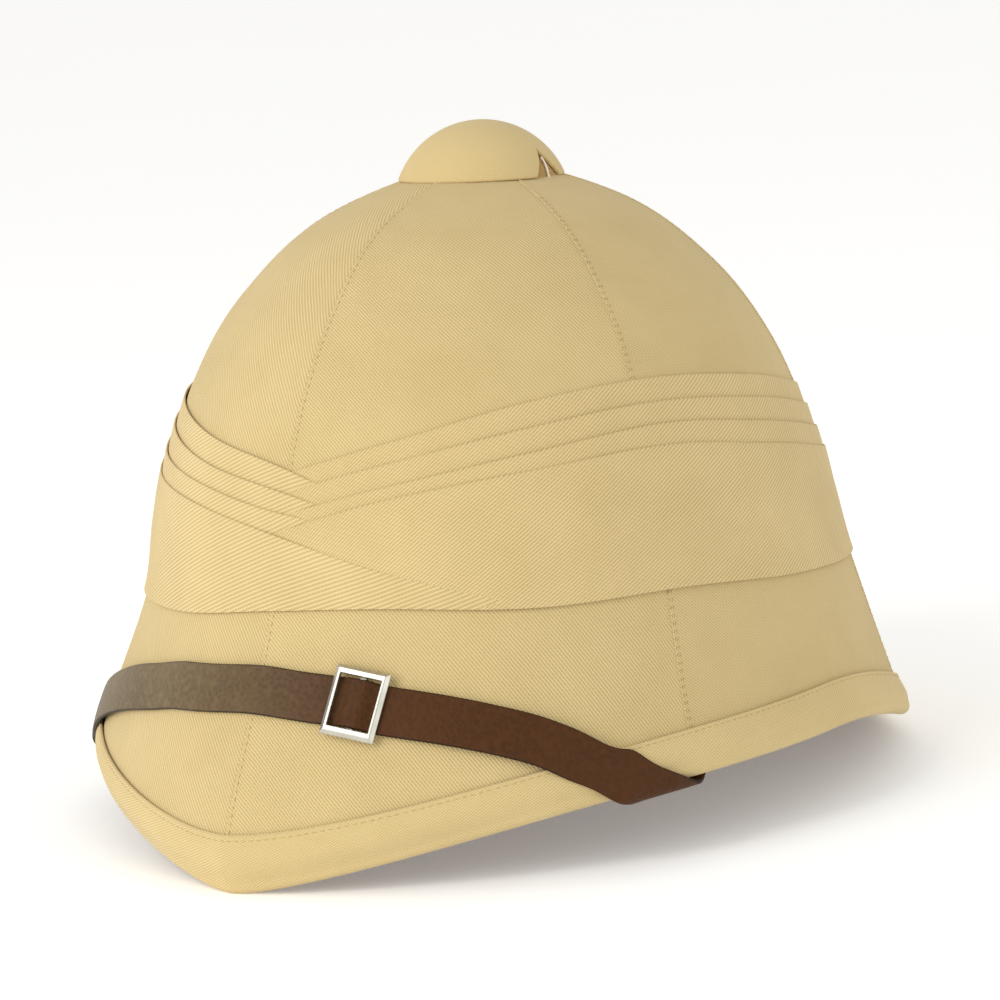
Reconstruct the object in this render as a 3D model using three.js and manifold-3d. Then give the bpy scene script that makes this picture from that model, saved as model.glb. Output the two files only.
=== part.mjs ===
// A pith helmet: a cork shell covered in six panels of cotton twill, with a bound brim, a pleated
// scarf wound round the crown, a cloth-covered button on top, and a leather chin strap worn up
// over the peak. Millimetres, +Z up, front towards -Y, the wearer's left towards +X.

import * as THREE from 'three';
import { mergeVertices } from 'three/addons/utils/BufferGeometryUtils.js';
import Module from 'manifold-3d';

// Sections of the cloth cover's outside, from the top of the crown to the edge of the brim.
// down: place along the wall. halfWidth, front, rear: reach from the section's centre.
// centre: how far behind the crown's axis that centre lies. side, peak, tail: height at the
// sides, in front and behind. point: how sharply the front narrows.
const SECTIONS = [
  { down: 0, halfWidth: 0, front: 0, rear: 0, centre: 8,
    side: 205.5, peak: 205.5, tail: 205.5, point: 0 },
  { down: 36, halfWidth: 46, front: 52, rear: 45, centre: 5,
    side: 193, peak: 193, tail: 193, point: 0 },
  { down: 76, halfWidth: 75, front: 79.5, rear: 81.5, centre: 1.5,
    side: 169.5, peak: 169.5, tail: 169.5, point: 0 },
  { down: 117, halfWidth: 92.5, front: 99, rear: 105.5, centre: 0,
    side: 141.5, peak: 141.5, tail: 141.5, point: 0 },
  { down: 158, halfWidth: 102.5, front: 113, rear: 120, centre: 0,
    side: 109.5, peak: 109.5, tail: 109.5, point: 0 },
  { down: 198, halfWidth: 108.5, front: 123.5, rear: 131, centre: 0,
    side: 77.5, peak: 77.5, tail: 77.5, point: 0 },
  { down: 256, halfWidth: 122, front: 152.8, rear: 150.5, centre: 0,
    side: 39.5, peak: 18.5, tail: 12.2, point: 0.22 },
  { down: 288, halfWidth: 127.2, front: 152.3, rear: 149.5, centre: 0,
    side: 29.6, peak: 2.6, tail: 2.45, point: 0.36 },
];
const CROWN_TOP = SECTIONS[0];
const BINDING_TOP = SECTIONS[6].down;
const BRIM_EDGE = SECTIONS[7].down;
const PEAK_DROP = 3.5;
const TAIL_REACH = 1;

// Walls, outwards from the cover's outside, and the gap that neighbours keep.
const GAP = 0.3;
const WELD = 1e-4;
const COVER_THICK = 1;
const SHELL_THICK = 2.2;
const BINDING_THICK = 1;
const SHELL_OUT = -COVER_THICK - GAP;
const SHELL_IN = SHELL_OUT - SHELL_THICK;
const BINDING_OUT = GAP + BINDING_THICK;
const BINDING_IN = SHELL_IN - GAP - BINDING_THICK;
const RIM_MIDDLE = (BINDING_OUT + BINDING_IN) / 2;
const RIM_RADIUS = (BINDING_OUT - BINDING_IN) / 2;
const RIM_STEPS = 8;
const RIM_CLEARANCE = 0.6;

// Panels of the cover: the angle of each seam round from the front, and the facets between seams.
const PANELS = [
  { name: 'cover_panel_front_left', from: 0, to: 66, facets: 8 },
  { name: 'cover_panel_side_left', from: 66, to: 122, facets: 6 },
  { name: 'cover_panel_rear_left', from: 122, to: 180, facets: 7 },
  { name: 'cover_panel_rear_right', from: 180, to: 238, facets: 7 },
  { name: 'cover_panel_side_right', from: 238, to: 294, facets: 6 },
  { name: 'cover_panel_front_right', from: 294, to: 360, facets: 8 },
];
const VENT_DOWN = 6.6;
const SHELL_LEVELS = [VENT_DOWN, 36, 76, 117, 158, 198, 217, 237, BINDING_TOP, 272, BRIM_EDGE];
const COVER_LEVELS = [...SHELL_LEVELS, 56, 96, 137, 178].sort((a, b) => a - b);

// Folds of the scarf, listed from the innermost out. hand: the wearer's side it runs round.
// starts: the angle from the front, on its own side, where it comes out from under the next
// fold. The other columns are the height of its folded upper edge at each of PLACES.
const PLACES = { past: -20, front: 0, brow: 20, temple: 45, side: 70, ear: 95, nape: 130, back: 180 };
const FOLDS = [
  { name: 'scarf_fold_left_1', hand: 1, starts: 2.2, past: 114, front: 122.3, brow: 131.2,
    temple: 140, side: 142.2, ear: 137, nape: 124, back: 116 },
  { name: 'scarf_fold_right_1', hand: -1, starts: -4.4, past: 110.3, front: 123.3, brow: 130.1,
    temple: 137, side: 139.5, ear: 134, nape: 122, back: 116 },
  { name: 'scarf_fold_left_2', hand: 1, starts: 2.2, past: 101, front: 115.8, brow: 124.8,
    temple: 132.5, side: 135, ear: 129.5, nape: 116.5, back: 108.5 },
  { name: 'scarf_fold_right_2', hand: -1, starts: -5.2, past: 106.9, front: 116.5, brow: 122.4,
    temple: 128.8, side: 131.5, ear: 126, nape: 114, back: 108.5 },
  { name: 'scarf_fold_left_3', hand: 1, starts: 3.2, past: 98.5, front: 109.4, brow: 118,
    temple: 125.2, side: 128.3, ear: 121.8, nape: 108.5, back: 101.5 },
  { name: 'scarf_fold_right_3', hand: -1, starts: -5.2, past: 105, front: 110.4, brow: 116.2,
    temple: 121, side: 124, ear: 118.5, nape: 107, back: 101.5 },
  { name: 'scarf_fold_left_4', hand: 1, starts: 0.7, past: 92.5, front: 104.5, brow: 114.1,
    temple: 120, side: 121.8, ear: 114.5, nape: 101.5, back: 95 },
  { name: 'scarf_fold_right_4', hand: -1, starts: -41.25, past: 93.2, front: 103.9, brow: 110.2,
    temple: 114.5, side: 117.5, ear: 111.5, nape: 100.5, back: 95 },
];
// The scarf's lower edge on each side, by the same places.
const HEMS = [
  { hand: 1, past: 78, front: 81.5, brow: 82.6, temple: 79.6, side: 78.6, ear: 72.8, nape: 66, back: 62 },
  { hand: -1, past: 82.6, front: 81.5, brow: 78, temple: 76.5, side: 76, ear: 72.8, nape: 66, back: 62 },
];
const FOLD_EDGE_GAP = 0.4;
const FOLD_LEAST_HEIGHT = 1;
const FOLD_CROSSINGS = [-3, -0.9, 3.5, 5.8];
const FOLD_STATION_SPACE = 1.2;
const FOLD_END = 179.9;
const FOLD_TIP_MARGIN = 1.5;
// Thickness of a fold by the distance below its upper edge, or by the share of its height if less.
const FOLD_PROFILE = [
  { below: 0, share: 0, thick: 1.2 },
  { below: 0.9, share: 0.3, thick: 2 },
  { below: 4, share: 0.65, thick: 1.3 },
];
const FOLD_FLAT_THICK = 1;
const FOLD_FLAT_STEP = 20;

// Cloth-covered button over the vent at the top of the crown.
const BUTTON_RADIUS = 27.5;
const BUTTON_RISE = 18.8;
const BUTTON_WALL = 2.6;
const BUTTON_SEAT = 200.95;
const BUTTON_TILT = 2.35;
const BUTTON_HEM_SLOPE = 0.9;
const BUTTON_STEM_RADIUS = 7.6;
const BUTTON_SIDES = 24;
const BUTTON_RINGS = 5;
const NOTCH_TURN = 91;
const NOTCH_WIDTH = 14;
const NOTCH_HEIGHT = 9;
const NOTCH_BELOW_HEM = 1;
const NOTCH_DEPTH = 1.5;

// Chin strap. turn: angle round from the front. run: distance of the strap's middle from the
// lowest line of the rim, up the outside of the brim, or up the inside where it is negative.
const STRAP_WIDTH = 15.5;
const STRAP_THICK = 1.6;
const STRAP_STEPS_ACROSS = 3;
const STRAP_SLACK = 1.4;
const STRAP_BEND_RADIUS = RIM_RADIUS + GAP + STRAP_SLACK + STRAP_THICK / 2;
const STRAP_PATH = [
  { turn: -88, run: -52 },
  { turn: -80, run: -35 },
  { turn: -72, run: -17 },
  { turn: -66, run: -4 },
  { turn: -61, run: 6 },
  { turn: -56, run: 15.5 },
  { turn: -51, run: 24.5 },
  { turn: -46, run: 32 },
  { turn: -36, run: 45 },
  { turn: -27, run: 55 },
  { turn: -16.5, run: 64.5 },
  { turn: 0, run: 70 },
  { turn: 15, run: 64.5 },
  { turn: 25, run: 55 },
  { turn: 34, run: 45 },
  { turn: 44, run: 32 },
  { turn: 49, run: 24.2 },
  { turn: 54, run: 14.8 },
  { turn: 59, run: 4 },
  { turn: 64, run: -7 },
  { turn: 70, run: -20.5 },
  { turn: 78, run: -38 },
  { turn: 86, run: -54 },
];
const STRAP_STATIONS = [
  { from: 0, to: 50, step: 5 },
  { from: 52, to: 76, step: 1.5 },
  { from: 79, to: 86, step: 3.5 },
];
const STRAP_INSIDE_GAP = 0.9;
const STRAP_ON_RIM = 22;
const STRAP_ON_WALL = 56;
const STRAP_SLACK_END = 18;

// Slide buckle: a frame over the strap, and a low bar that the strap humps over.
const BUCKLE_TURN = 19.3;
const BUCKLE_LENGTH = 17.5;
const BUCKLE_HEIGHT = 22;
const BUCKLE_SIDE_BAR = 2;
const BUCKLE_END_BAR = 2.7;
const BUCKLE_THICK = 1.8;
const BUCKLE_BEVEL = 1.2;
const BUCKLE_LIFT = GAP + STRAP_THICK + GAP;
const CENTRE_BAR_WIDTH = 2;
const CENTRE_BAR_THICK = 1.2;
const CENTRE_BAR_LIFT = 0.4;
const LUG_LENGTH = 2;
const HUMP = CENTRE_BAR_LIFT + CENTRE_BAR_THICK;
const HUMP_FLAT = 0.8;
const HUMP_SPAN = 2.8;
const HUMP_MARGIN = 2;
const HUMP_STATIONS = [-3.8, -2.8, -1.8, -0.8, 0, 0.8, 1.8, 2.8, 3.8];

const TURN_STEP = 1e-3;
const DOWN_STEP = 0.05;
const RUN_STEP = 0.05;
const SEARCH_STEPS = 30;
const WIDEST_TURN = 0.3;

const radians = THREE.MathUtils.degToRad;
const clamp = THREE.MathUtils.clamp;

function smoothStep(value) {
  const t = clamp(value, 0, 1);
  return t * t * (3 - 2 * t);
}

// Smooth curve through { at, value } knots, straight before the first, with a chosen slope at
// either end if one is given.
function smoothCurve(knots, at, firstSlope, lastSlope) {
  const last = knots.length - 1;
  const slope = (i) => {
    if (i === 0 && firstSlope !== undefined) return firstSlope;
    if (i === last && lastSlope !== undefined) return lastSlope;
    const before = knots[Math.max(i - 1, 0)];
    const after = knots[Math.min(i + 1, last)];
    return (after.value - before.value) / (after.at - before.at);
  };
  if (at < knots[0].at) return knots[0].value + slope(0) * (at - knots[0].at);
  let i = 0;
  while (i < last - 1 && at >= knots[i + 1].at) i += 1;
  const length = knots[i + 1].at - knots[i].at;
  const t = (at - knots[i].at) / length;
  const fromStart = knots[i].value * (2 * t ** 3 - 3 * t ** 2 + 1);
  const fromEnd = knots[i + 1].value * (3 * t ** 2 - 2 * t ** 3);
  const bend = slope(i) * (t ** 3 - 2 * t ** 2 + t) + slope(i + 1) * (t ** 3 - t ** 2);
  return fromStart + fromEnd + bend * length;
}

const LEVEL_AT_TOP = ['centre', 'side', 'peak', 'tail'];

function sectionAt(down) {
  const section = {};
  for (const column of Object.keys(CROWN_TOP)) {
    const knots = SECTIONS.map((row) => ({ at: row.down, value: row[column] }));
    const level = LEVEL_AT_TOP.includes(column) ? 0 : undefined;
    section[column] = smoothCurve(knots, down, level);
  }
  return section;
}

// Point of the cover's outside, by the angle round from the front and the place down the wall.
function wallPoint(turn, down) {
  const section = sectionAt(down);
  const cosine = Math.cos(turn);
  const sine = Math.sin(turn);
  const toFront = Math.max(cosine, 0);
  const toBack = smoothStep(-cosine / TAIL_REACH);
  const narrowing = Math.abs(sine) ** (1 + section.point * toFront ** 2);
  const x = section.halfWidth * Math.sign(sine) * narrowing;
  const y = section.centre - cosine * (cosine > 0 ? section.front : section.rear);
  const peakShare = toFront ** PEAK_DROP;
  const z = section.side + (section.peak - section.side) * peakShare + (section.tail - section.side) * toBack;
  return new THREE.Vector3(x, y, z);
}

// Unit directions of the wall at a place: along the rim, outwards, and on down past the edge.
function wallFrame(turn, down) {
  const along = wallPoint(turn + TURN_STEP, down).sub(wallPoint(turn - TURN_STEP, down)).normalize();
  const downwards = wallPoint(turn, down + DOWN_STEP).sub(wallPoint(turn, down - DOWN_STEP));
  const outwards = downwards.cross(along).normalize();
  const onwards = along.clone().cross(outwards);
  return { along, outwards, onwards };
}

// The same place, lifted off the cover's outside, or sunk below it where lift is negative.
function wallSkin(turn, down, lift) {
  return wallPoint(turn, down).addScaledVector(wallFrame(turn, down).outwards, lift);
}

// The angle a short distance to one side of a seam.
function turnBeside(turn, down, distance) {
  const start = wallPoint(turn, down);
  const hand = Math.sign(distance);
  let low = 0;
  let high = WIDEST_TURN;
  for (let i = 0; i < SEARCH_STEPS; i += 1) {
    const middle = (low + high) / 2;
    const reached = wallPoint(turn + hand * middle, down).distanceTo(start);
    if (reached < Math.abs(distance)) low = middle;
    else high = middle;
  }
  return turn + hand * low;
}

// The place down the wall at a height, above the brim.
function downAtHeight(turn, height) {
  let low = VENT_DOWN;
  let high = BINDING_TOP;
  for (let i = 0; i < SEARCH_STEPS; i += 1) {
    const middle = (low + high) / 2;
    if (wallPoint(turn, middle).z > height) low = middle;
    else high = middle;
  }
  return low;
}

// The place down the wall a distance above the brim's edge.
function downAboveEdge(turn, distance) {
  const stride = 2;
  let down = BRIM_EDGE;
  for (let left = distance; left > 0; left -= stride) {
    const pace = wallPoint(turn, down).distanceTo(wallPoint(turn, down - 1));
    down -= Math.min(left, stride) / pace;
  }
  return down;
}

// Closed solid from four-sided facets, turned so that its faces point outwards. Each facet is
// split along its shorter diagonal, so that walls that lie close together are split alike.
function closedGeometry(vertices, quads) {
  const triangles = quads.flatMap(([a, b, c, d]) => {
    const straight = vertices[a].distanceTo(vertices[c]) <= vertices[b].distanceTo(vertices[d]);
    return straight ? [[a, b, c], [a, c, d]] : [[a, b, d], [b, c, d]];
  });
  let volume = 0;
  for (const [a, b, c] of triangles) {
    volume += vertices[a].dot(vertices[b].clone().cross(vertices[c]));
  }
  const facing = volume > 0 ? triangles : triangles.map(([a, b, c]) => [a, c, b]);
  const geometry = new THREE.BufferGeometry();
  geometry.setFromPoints(vertices);
  geometry.setIndex(facing.flat());
  return geometry;
}

// Sheet with thickness: pointAt(column, row, outside) gives its points. A closed sheet goes round.
function sheetGeometry(columns, rows, pointAt, closed = false) {
  const vertices = [];
  for (let column = 0; column < columns; column += 1) {
    for (let row = 0; row < rows; row += 1) {
      vertices.push(pointAt(column, row, false), pointAt(column, row, true));
    }
  }
  const index = (column, row, outside) => 2 * ((column % columns) * rows + row) + outside;
  const quads = [];
  const quad = (...corners) => quads.push(corners);
  const spans = closed ? columns : columns - 1;
  for (let i = 0; i < spans; i += 1) {
    for (let j = 0; j < rows - 1; j += 1) {
      quad(index(i, j, 1), index(i, j + 1, 1), index(i + 1, j + 1, 1), index(i + 1, j, 1));
      quad(index(i + 1, j, 0), index(i + 1, j + 1, 0), index(i, j + 1, 0), index(i, j, 0));
    }
    const end = rows - 1;
    quad(index(i, 0, 0), index(i, 0, 1), index(i + 1, 0, 1), index(i + 1, 0, 0));
    quad(index(i + 1, end, 0), index(i + 1, end, 1), index(i, end, 1), index(i, end, 0));
  }
  if (!closed) {
    const end = columns - 1;
    for (let j = 0; j < rows - 1; j += 1) {
      quad(index(0, j, 0), index(0, j + 1, 0), index(0, j + 1, 1), index(0, j, 1));
      quad(index(end, j, 1), index(end, j + 1, 1), index(end, j + 1, 0), index(end, j, 0));
    }
  }
  return closedGeometry(vertices, quads);
}

// Closed ring: each station has the same number of points round its section.
function ringGeometry(sections) {
  const count = sections[0].length;
  const vertices = sections.flat();
  const index = (i, j) => (i % sections.length) * count + (j % count);
  const quads = [];
  for (let i = 0; i < sections.length; i += 1) {
    for (let j = 0; j < count; j += 1) {
      quads.push([index(i, j), index(i + 1, j), index(i + 1, j + 1), index(i, j + 1)]);
    }
  }
  return closedGeometry(vertices, quads);
}

// Joins and cuts of closed solids.
const wasm = await Module();
wasm.setup();

function toSolid(geometry) {
  const bare = geometry.clone();
  bare.deleteAttribute('normal');
  bare.deleteAttribute('uv');
  const merged = mergeVertices(bare, WELD);
  const vertProperties = new Float32Array(merged.attributes.position.array);
  const triVerts = new Uint32Array(merged.index.array);
  return new wasm.Manifold(new wasm.Mesh({ numProp: 3, vertProperties, triVerts }));
}

function toGeometry(solid) {
  const mesh = solid.getMesh();
  const geometry = new THREE.BufferGeometry();
  geometry.setAttribute('position', new THREE.BufferAttribute(new Float32Array(mesh.vertProperties), 3));
  geometry.setIndex(new THREE.BufferAttribute(new Uint32Array(mesh.triVerts), 1));
  return geometry;
}

const CORK = new THREE.MeshStandardMaterial({ color: '#b08c5c', roughness: 0.95, metalness: 0 });
const TWILL = new THREE.MeshStandardMaterial({ color: '#cdb682', roughness: 0.9, metalness: 0 });
const BIAS_TWILL = new THREE.MeshStandardMaterial({ color: '#ccb783', roughness: 0.9, metalness: 0 });
const SCARF_TWILL = new THREE.MeshStandardMaterial({ color: '#d1ba85', roughness: 0.9, metalness: 0 });
const LEATHER = new THREE.MeshStandardMaterial({ color: '#563920', roughness: 0.55, metalness: 0 });
const NICKEL = new THREE.MeshStandardMaterial({ color: '#d8d8d4', roughness: 0.25, metalness: 1 });

const helmet = new THREE.Group();

function addPiece(name, geometry, material) {
  const piece = new THREE.Mesh(geometry, material);
  piece.name = name;
  helmet.add(piece);
  return piece;
}

// Angles that the shell, cover, binding and scarf share, so that their facets lie parallel.
const SHARED_TURNS = PANELS.flatMap(({ from, to, facets }) =>
  Array.from({ length: facets }, (_, i) => from + ((to - from) * i) / facets));

function addShell() {
  const pointAt = (column, row, outside) =>
    wallSkin(radians(SHARED_TURNS[column]), SHELL_LEVELS[row], outside ? SHELL_OUT : SHELL_IN);
  addPiece('shell', sheetGeometry(SHARED_TURNS.length, SHELL_LEVELS.length, pointAt, true), CORK);
}

function addCoverPanel({ name, from, to, facets }) {
  const pointAt = (column, row, outside) => {
    const down = COVER_LEVELS[row];
    let turn = radians(from + ((to - from) * column) / facets);
    if (column === 0) turn = turnBeside(turn, down, GAP / 2);
    if (column === facets) turn = turnBeside(turn, down, -GAP / 2);
    return wallSkin(turn, down, outside ? 0 : -COVER_THICK);
  };
  addPiece(name, sheetGeometry(facets + 1, COVER_LEVELS.length, pointAt), TWILL);
}

// Point round the rim: reach is the distance from the middle of its wall, angle runs from straight
// out at 90 degrees, past the edge at 0, to straight in at -90.
function rimPoint(turn, angle, reach) {
  const { outwards, onwards } = wallFrame(turn, BRIM_EDGE);
  const point = wallSkin(turn, BRIM_EDGE, RIM_MIDDLE);
  point.addScaledVector(outwards, reach * Math.sin(angle));
  return point.addScaledVector(onwards, reach * Math.cos(angle));
}

// Cloth tape folded over the edge of the brim, flattened where the helmet rests on it.
function addBinding() {
  const sections = SHARED_TURNS.map((degrees) => {
    const turn = radians(degrees);
    const halfway = (BINDING_TOP + BRIM_EDGE) / 2;
    const section = [wallSkin(turn, BINDING_TOP, BINDING_OUT), wallSkin(turn, halfway, BINDING_OUT)];
    for (let i = 0; i <= RIM_STEPS; i += 1) {
      const point = rimPoint(turn, Math.PI * (0.5 - i / RIM_STEPS), RIM_RADIUS);
      point.z = Math.max(point.z, 0);
      section.push(point);
    }
    section.push(wallSkin(turn, halfway, BINDING_IN), wallSkin(turn, BINDING_TOP, BINDING_IN));
    const { onwards } = wallFrame(turn, BRIM_EDGE);
    const levels = [BINDING_TOP, halfway, BRIM_EDGE];
    const inner = levels.map((down) => wallSkin(turn, down, BINDING_IN + BINDING_THICK));
    const outer = levels.map((down) => wallSkin(turn, down, BINDING_OUT - BINDING_THICK)).reverse();
    inner[2].addScaledVector(onwards, RIM_CLEARANCE);
    outer[0].addScaledVector(onwards, RIM_CLEARANCE);
    return [...section, ...inner, ...outer];
  });
  addPiece('brim_binding', ringGeometry(sections), BIAS_TWILL);
}

// Height of a fold's upper edge, or of a hem, at an angle on its own side.
function edgeHeight(row, angle) {
  const knots = Object.entries(PLACES).map(([place, at]) => ({ at, value: row[place] }));
  return smoothCurve(knots, angle, undefined, 0);
}

// Height where a fold gives way to what lies over it: the next two folds out, or the hem.
function lowerHeight(order, angle) {
  const fold = FOLDS[order];
  const hem = HEMS.find(({ hand }) => hand === (angle < 0 ? -fold.hand : fold.hand));
  const heights = [edgeHeight(hem, Math.abs(angle))];
  for (const over of FOLDS.slice(order + 1, order + 3)) {
    const own = over.hand === fold.hand ? angle : -angle;
    if (own >= over.starts - FOLD_TIP_MARGIN) heights.push(edgeHeight(over, own) + FOLD_EDGE_GAP);
  }
  return Math.min(Math.max(...heights), edgeHeight(fold, angle) - FOLD_LEAST_HEIGHT);
}

// Angles at which a fold is drawn, on its own side.
function foldStations(fold) {
  const ahead = SHARED_TURNS.filter((degrees) => degrees < PLACES.back);
  const past = ahead.slice(1).map((degrees) => -degrees);
  const clear = (angle) => angle > fold.starts + FOLD_STATION_SPACE;
  const inside = [...past, ...ahead, ...FOLD_CROSSINGS].filter(clear);
  return [fold.starts, ...inside.sort((a, b) => a - b), FOLD_END];
}

function addFold(order) {
  const fold = FOLDS[order];
  const stations = foldStations(fold);
  const tallest = Math.max(...stations.map((angle) => edgeHeight(fold, angle) - lowerHeight(order, angle)));
  const flats = Math.ceil(tallest / FOLD_FLAT_STEP);
  const rows = FOLD_PROFILE.length + flats;
  const pointAt = (column, row, outside) => {
    const angle = stations[column];
    const turn = radians(fold.hand * angle);
    const top = edgeHeight(fold, angle);
    const height = top - lowerHeight(order, angle);
    const belows = FOLD_PROFILE.map(({ below, share }) => Math.min(below, share * height));
    const lastBelow = belows[belows.length - 1];
    for (let i = 1; i <= flats; i += 1) belows.push(lastBelow + ((height - lastBelow) * i) / flats);
    const thick = FOLD_PROFILE[row]?.thick ?? FOLD_FLAT_THICK;
    const down = downAtHeight(turn, top - belows[row]);
    return wallSkin(turn, down, outside ? GAP + thick : GAP);
  };
  addPiece(fold.name, sheetGeometry(stations.length, rows, pointAt), SCARF_TWILL);
}

// Domed cap, hollow below, on a stem that fills the vent. The notch goes through its outer layer only.
function addButton() {
  const sphere = (BUTTON_RADIUS ** 2 + BUTTON_RISE ** 2) / (2 * BUTTON_RISE);
  const domeArc = (radius, rise) => {
    const reach = Math.asin(Math.min(rise / radius, 1));
    return Array.from({ length: BUTTON_RINGS + 1 }, (_, i) => {
      const angle = (reach * i) / BUTTON_RINGS;
      const height = BUTTON_RISE - sphere + radius * Math.cos(angle);
      return new THREE.Vector2(radius * Math.sin(angle), height);
    });
  };
  const outer = domeArc(sphere, BUTTON_RADIUS);
  const inner = domeArc(sphere - BUTTON_WALL, BUTTON_RADIUS - BUTTON_WALL).reverse();
  const hollow = inner.filter(({ x }) => x > BUTTON_STEM_RADIUS);
  hollow[0].y = BUTTON_HEM_SLOPE;
  const stemTop = hollow[hollow.length - 1].y;
  const stemFoot = CROWN_TOP.side + SHELL_IN - BUTTON_SEAT;
  const stem = [
    new THREE.Vector2(BUTTON_STEM_RADIUS, stemTop),
    new THREE.Vector2(BUTTON_STEM_RADIUS, stemFoot),
    new THREE.Vector2(0, stemFoot),
  ];
  outer[0].x = 0;
  const cap = new THREE.LatheGeometry([...outer, ...hollow, ...stem].reverse(), BUTTON_SIDES);
  cap.rotateX(Math.PI / 2);

  const outline = new THREE.Shape();
  outline.moveTo(-NOTCH_WIDTH / 2, -NOTCH_BELOW_HEM);
  outline.lineTo(NOTCH_WIDTH / 2, -NOTCH_BELOW_HEM);
  outline.lineTo(0, NOTCH_HEIGHT);
  outline.closePath();
  const notch = new THREE.ExtrudeGeometry(outline, { depth: BUTTON_RADIUS, bevelEnabled: false });
  notch.translate(0, 0, BUTTON_STEM_RADIUS);
  notch.rotateX(Math.PI / 2);
  notch.rotateZ(radians(NOTCH_TURN));
  const lining = domeArc(sphere - NOTCH_DEPTH, BUTTON_RADIUS - NOTCH_DEPTH);
  lining[0].x = 0;
  const liningFoot = -2 * NOTCH_BELOW_HEM;
  lining.push(new THREE.Vector2(BUTTON_RADIUS - NOTCH_DEPTH, liningFoot), new THREE.Vector2(0, liningFoot));
  const kept = new THREE.LatheGeometry(lining.reverse(), BUTTON_SIDES);
  kept.rotateX(Math.PI / 2);

  const cut = toSolid(notch).subtract(toSolid(kept));
  const button = addPiece('button', toGeometry(toSolid(cap).subtract(cut)), TWILL);
  button.position.set(0, CROWN_TOP.centre, BUTTON_SEAT);
  button.rotation.x = -radians(BUTTON_TILT);
}

// Middle of the strap: its run up the wall at an angle round the rim.
function strapRun(degrees) {
  const knots = STRAP_PATH.map(({ turn, run }) => ({ at: turn, value: run }));
  return smoothCurve(knots, degrees);
}

// Point on a skin wrapped round the rim, reach from the middle of its wall.
function wrapPoint(turn, run, reach) {
  const quarter = (Math.PI / 2) * STRAP_BEND_RADIUS;
  if (Math.abs(run) < quarter) return rimPoint(turn, run / STRAP_BEND_RADIUS, reach);
  const down = downAboveEdge(turn, Math.abs(run) - quarter);
  return wallSkin(turn, down, RIM_MIDDLE + Math.sign(run) * reach);
}

// Strap's underside: slack round the rim, clear of the binding, and down on the wall above it.
function strapReach(run) {
  const away = Math.abs(run);
  const gap = run > 0 ? GAP : THREE.MathUtils.lerp(GAP, STRAP_INSIDE_GAP, smoothStep(away / STRAP_SLACK_END));
  const onRim = RIM_RADIUS + gap;
  const onWall = gap - RIM_MIDDLE;
  const settled = smoothStep((away - STRAP_ON_RIM) / (STRAP_ON_WALL - STRAP_ON_RIM));
  const slack = STRAP_SLACK * (1 - smoothStep(away / STRAP_SLACK_END));
  return THREE.MathUtils.lerp(onRim, onWall, settled) + slack;
}

// Strap's own directions at its middle: along it, across it and outwards, with the wall's own two.
function strapFrame(degrees) {
  const turn = radians(degrees);
  const run = strapRun(degrees);
  const reach = STRAP_BEND_RADIUS;
  const perTurn = wrapPoint(turn + TURN_STEP, run, reach).sub(wrapPoint(turn - TURN_STEP, run, reach));
  perTurn.divideScalar(2 * TURN_STEP);
  const perRun = wrapPoint(turn, run + RUN_STEP, reach).sub(wrapPoint(turn, run - RUN_STEP, reach));
  perRun.divideScalar(2 * RUN_STEP);
  const slope = (strapRun(degrees + RUN_STEP) - strapRun(degrees - RUN_STEP)) / radians(2 * RUN_STEP);
  const along = perTurn.clone().addScaledVector(perRun, slope).normalize();
  const outwards = perTurn.clone().cross(perRun).normalize();
  const across = outwards.clone().cross(along);
  return { turn, run, perTurn, perRun, along, across, outwards };
}

// Point of the strap a distance to one side of its middle.
function strapPoint(degrees, aside, lift) {
  const { turn, run, perTurn, perRun, across } = strapFrame(degrees);
  const mixed = perTurn.dot(perRun);
  const spread = perTurn.lengthSq() * perRun.lengthSq() - mixed ** 2;
  const onTurn = (across.dot(perTurn) * perRun.lengthSq() - across.dot(perRun) * mixed) / spread;
  const onRun = (across.dot(perRun) * perTurn.lengthSq() - across.dot(perTurn) * mixed) / spread;
  const sideRun = run + aside * onRun;
  return wrapPoint(turn + aside * onTurn, sideRun, strapReach(sideRun) + lift);
}

function addStrap() {
  const half = STRAP_STATIONS.flatMap(({ from, to, step }) => {
    const count = Math.floor((to - from) / step) + 1;
    return Array.from({ length: count }, (_, i) => from + i * step);
  });
  const humped = HUMP_STATIONS.map((offset) => BUCKLE_TURN + offset);
  const clear = (degrees) => Math.abs(degrees - BUCKLE_TURN) > HUMP_SPAN + HUMP_MARGIN;
  const stations = [...half.slice(1).map((degrees) => -degrees), ...half.filter(clear), ...humped];
  stations.sort((a, b) => a - b);
  const pointAt = (column, row, outside) => {
    const degrees = stations[column];
    const aside = STRAP_WIDTH * (row / STRAP_STEPS_ACROSS - 0.5);
    const rise = (Math.abs(degrees - BUCKLE_TURN) - HUMP_FLAT) / (HUMP_SPAN - HUMP_FLAT);
    const hump = HUMP * (1 - smoothStep(rise));
    return strapPoint(degrees, aside, hump + (outside ? STRAP_THICK : 0));
  };
  addPiece('chin_strap', sheetGeometry(stations.length, STRAP_STEPS_ACROSS + 1, pointAt), LEATHER);
}

function boxSolid(length, height, depth, x, y, z) {
  const box = new THREE.BoxGeometry(length, height, depth);
  return toSolid(box.translate(x, y, z));
}

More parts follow.
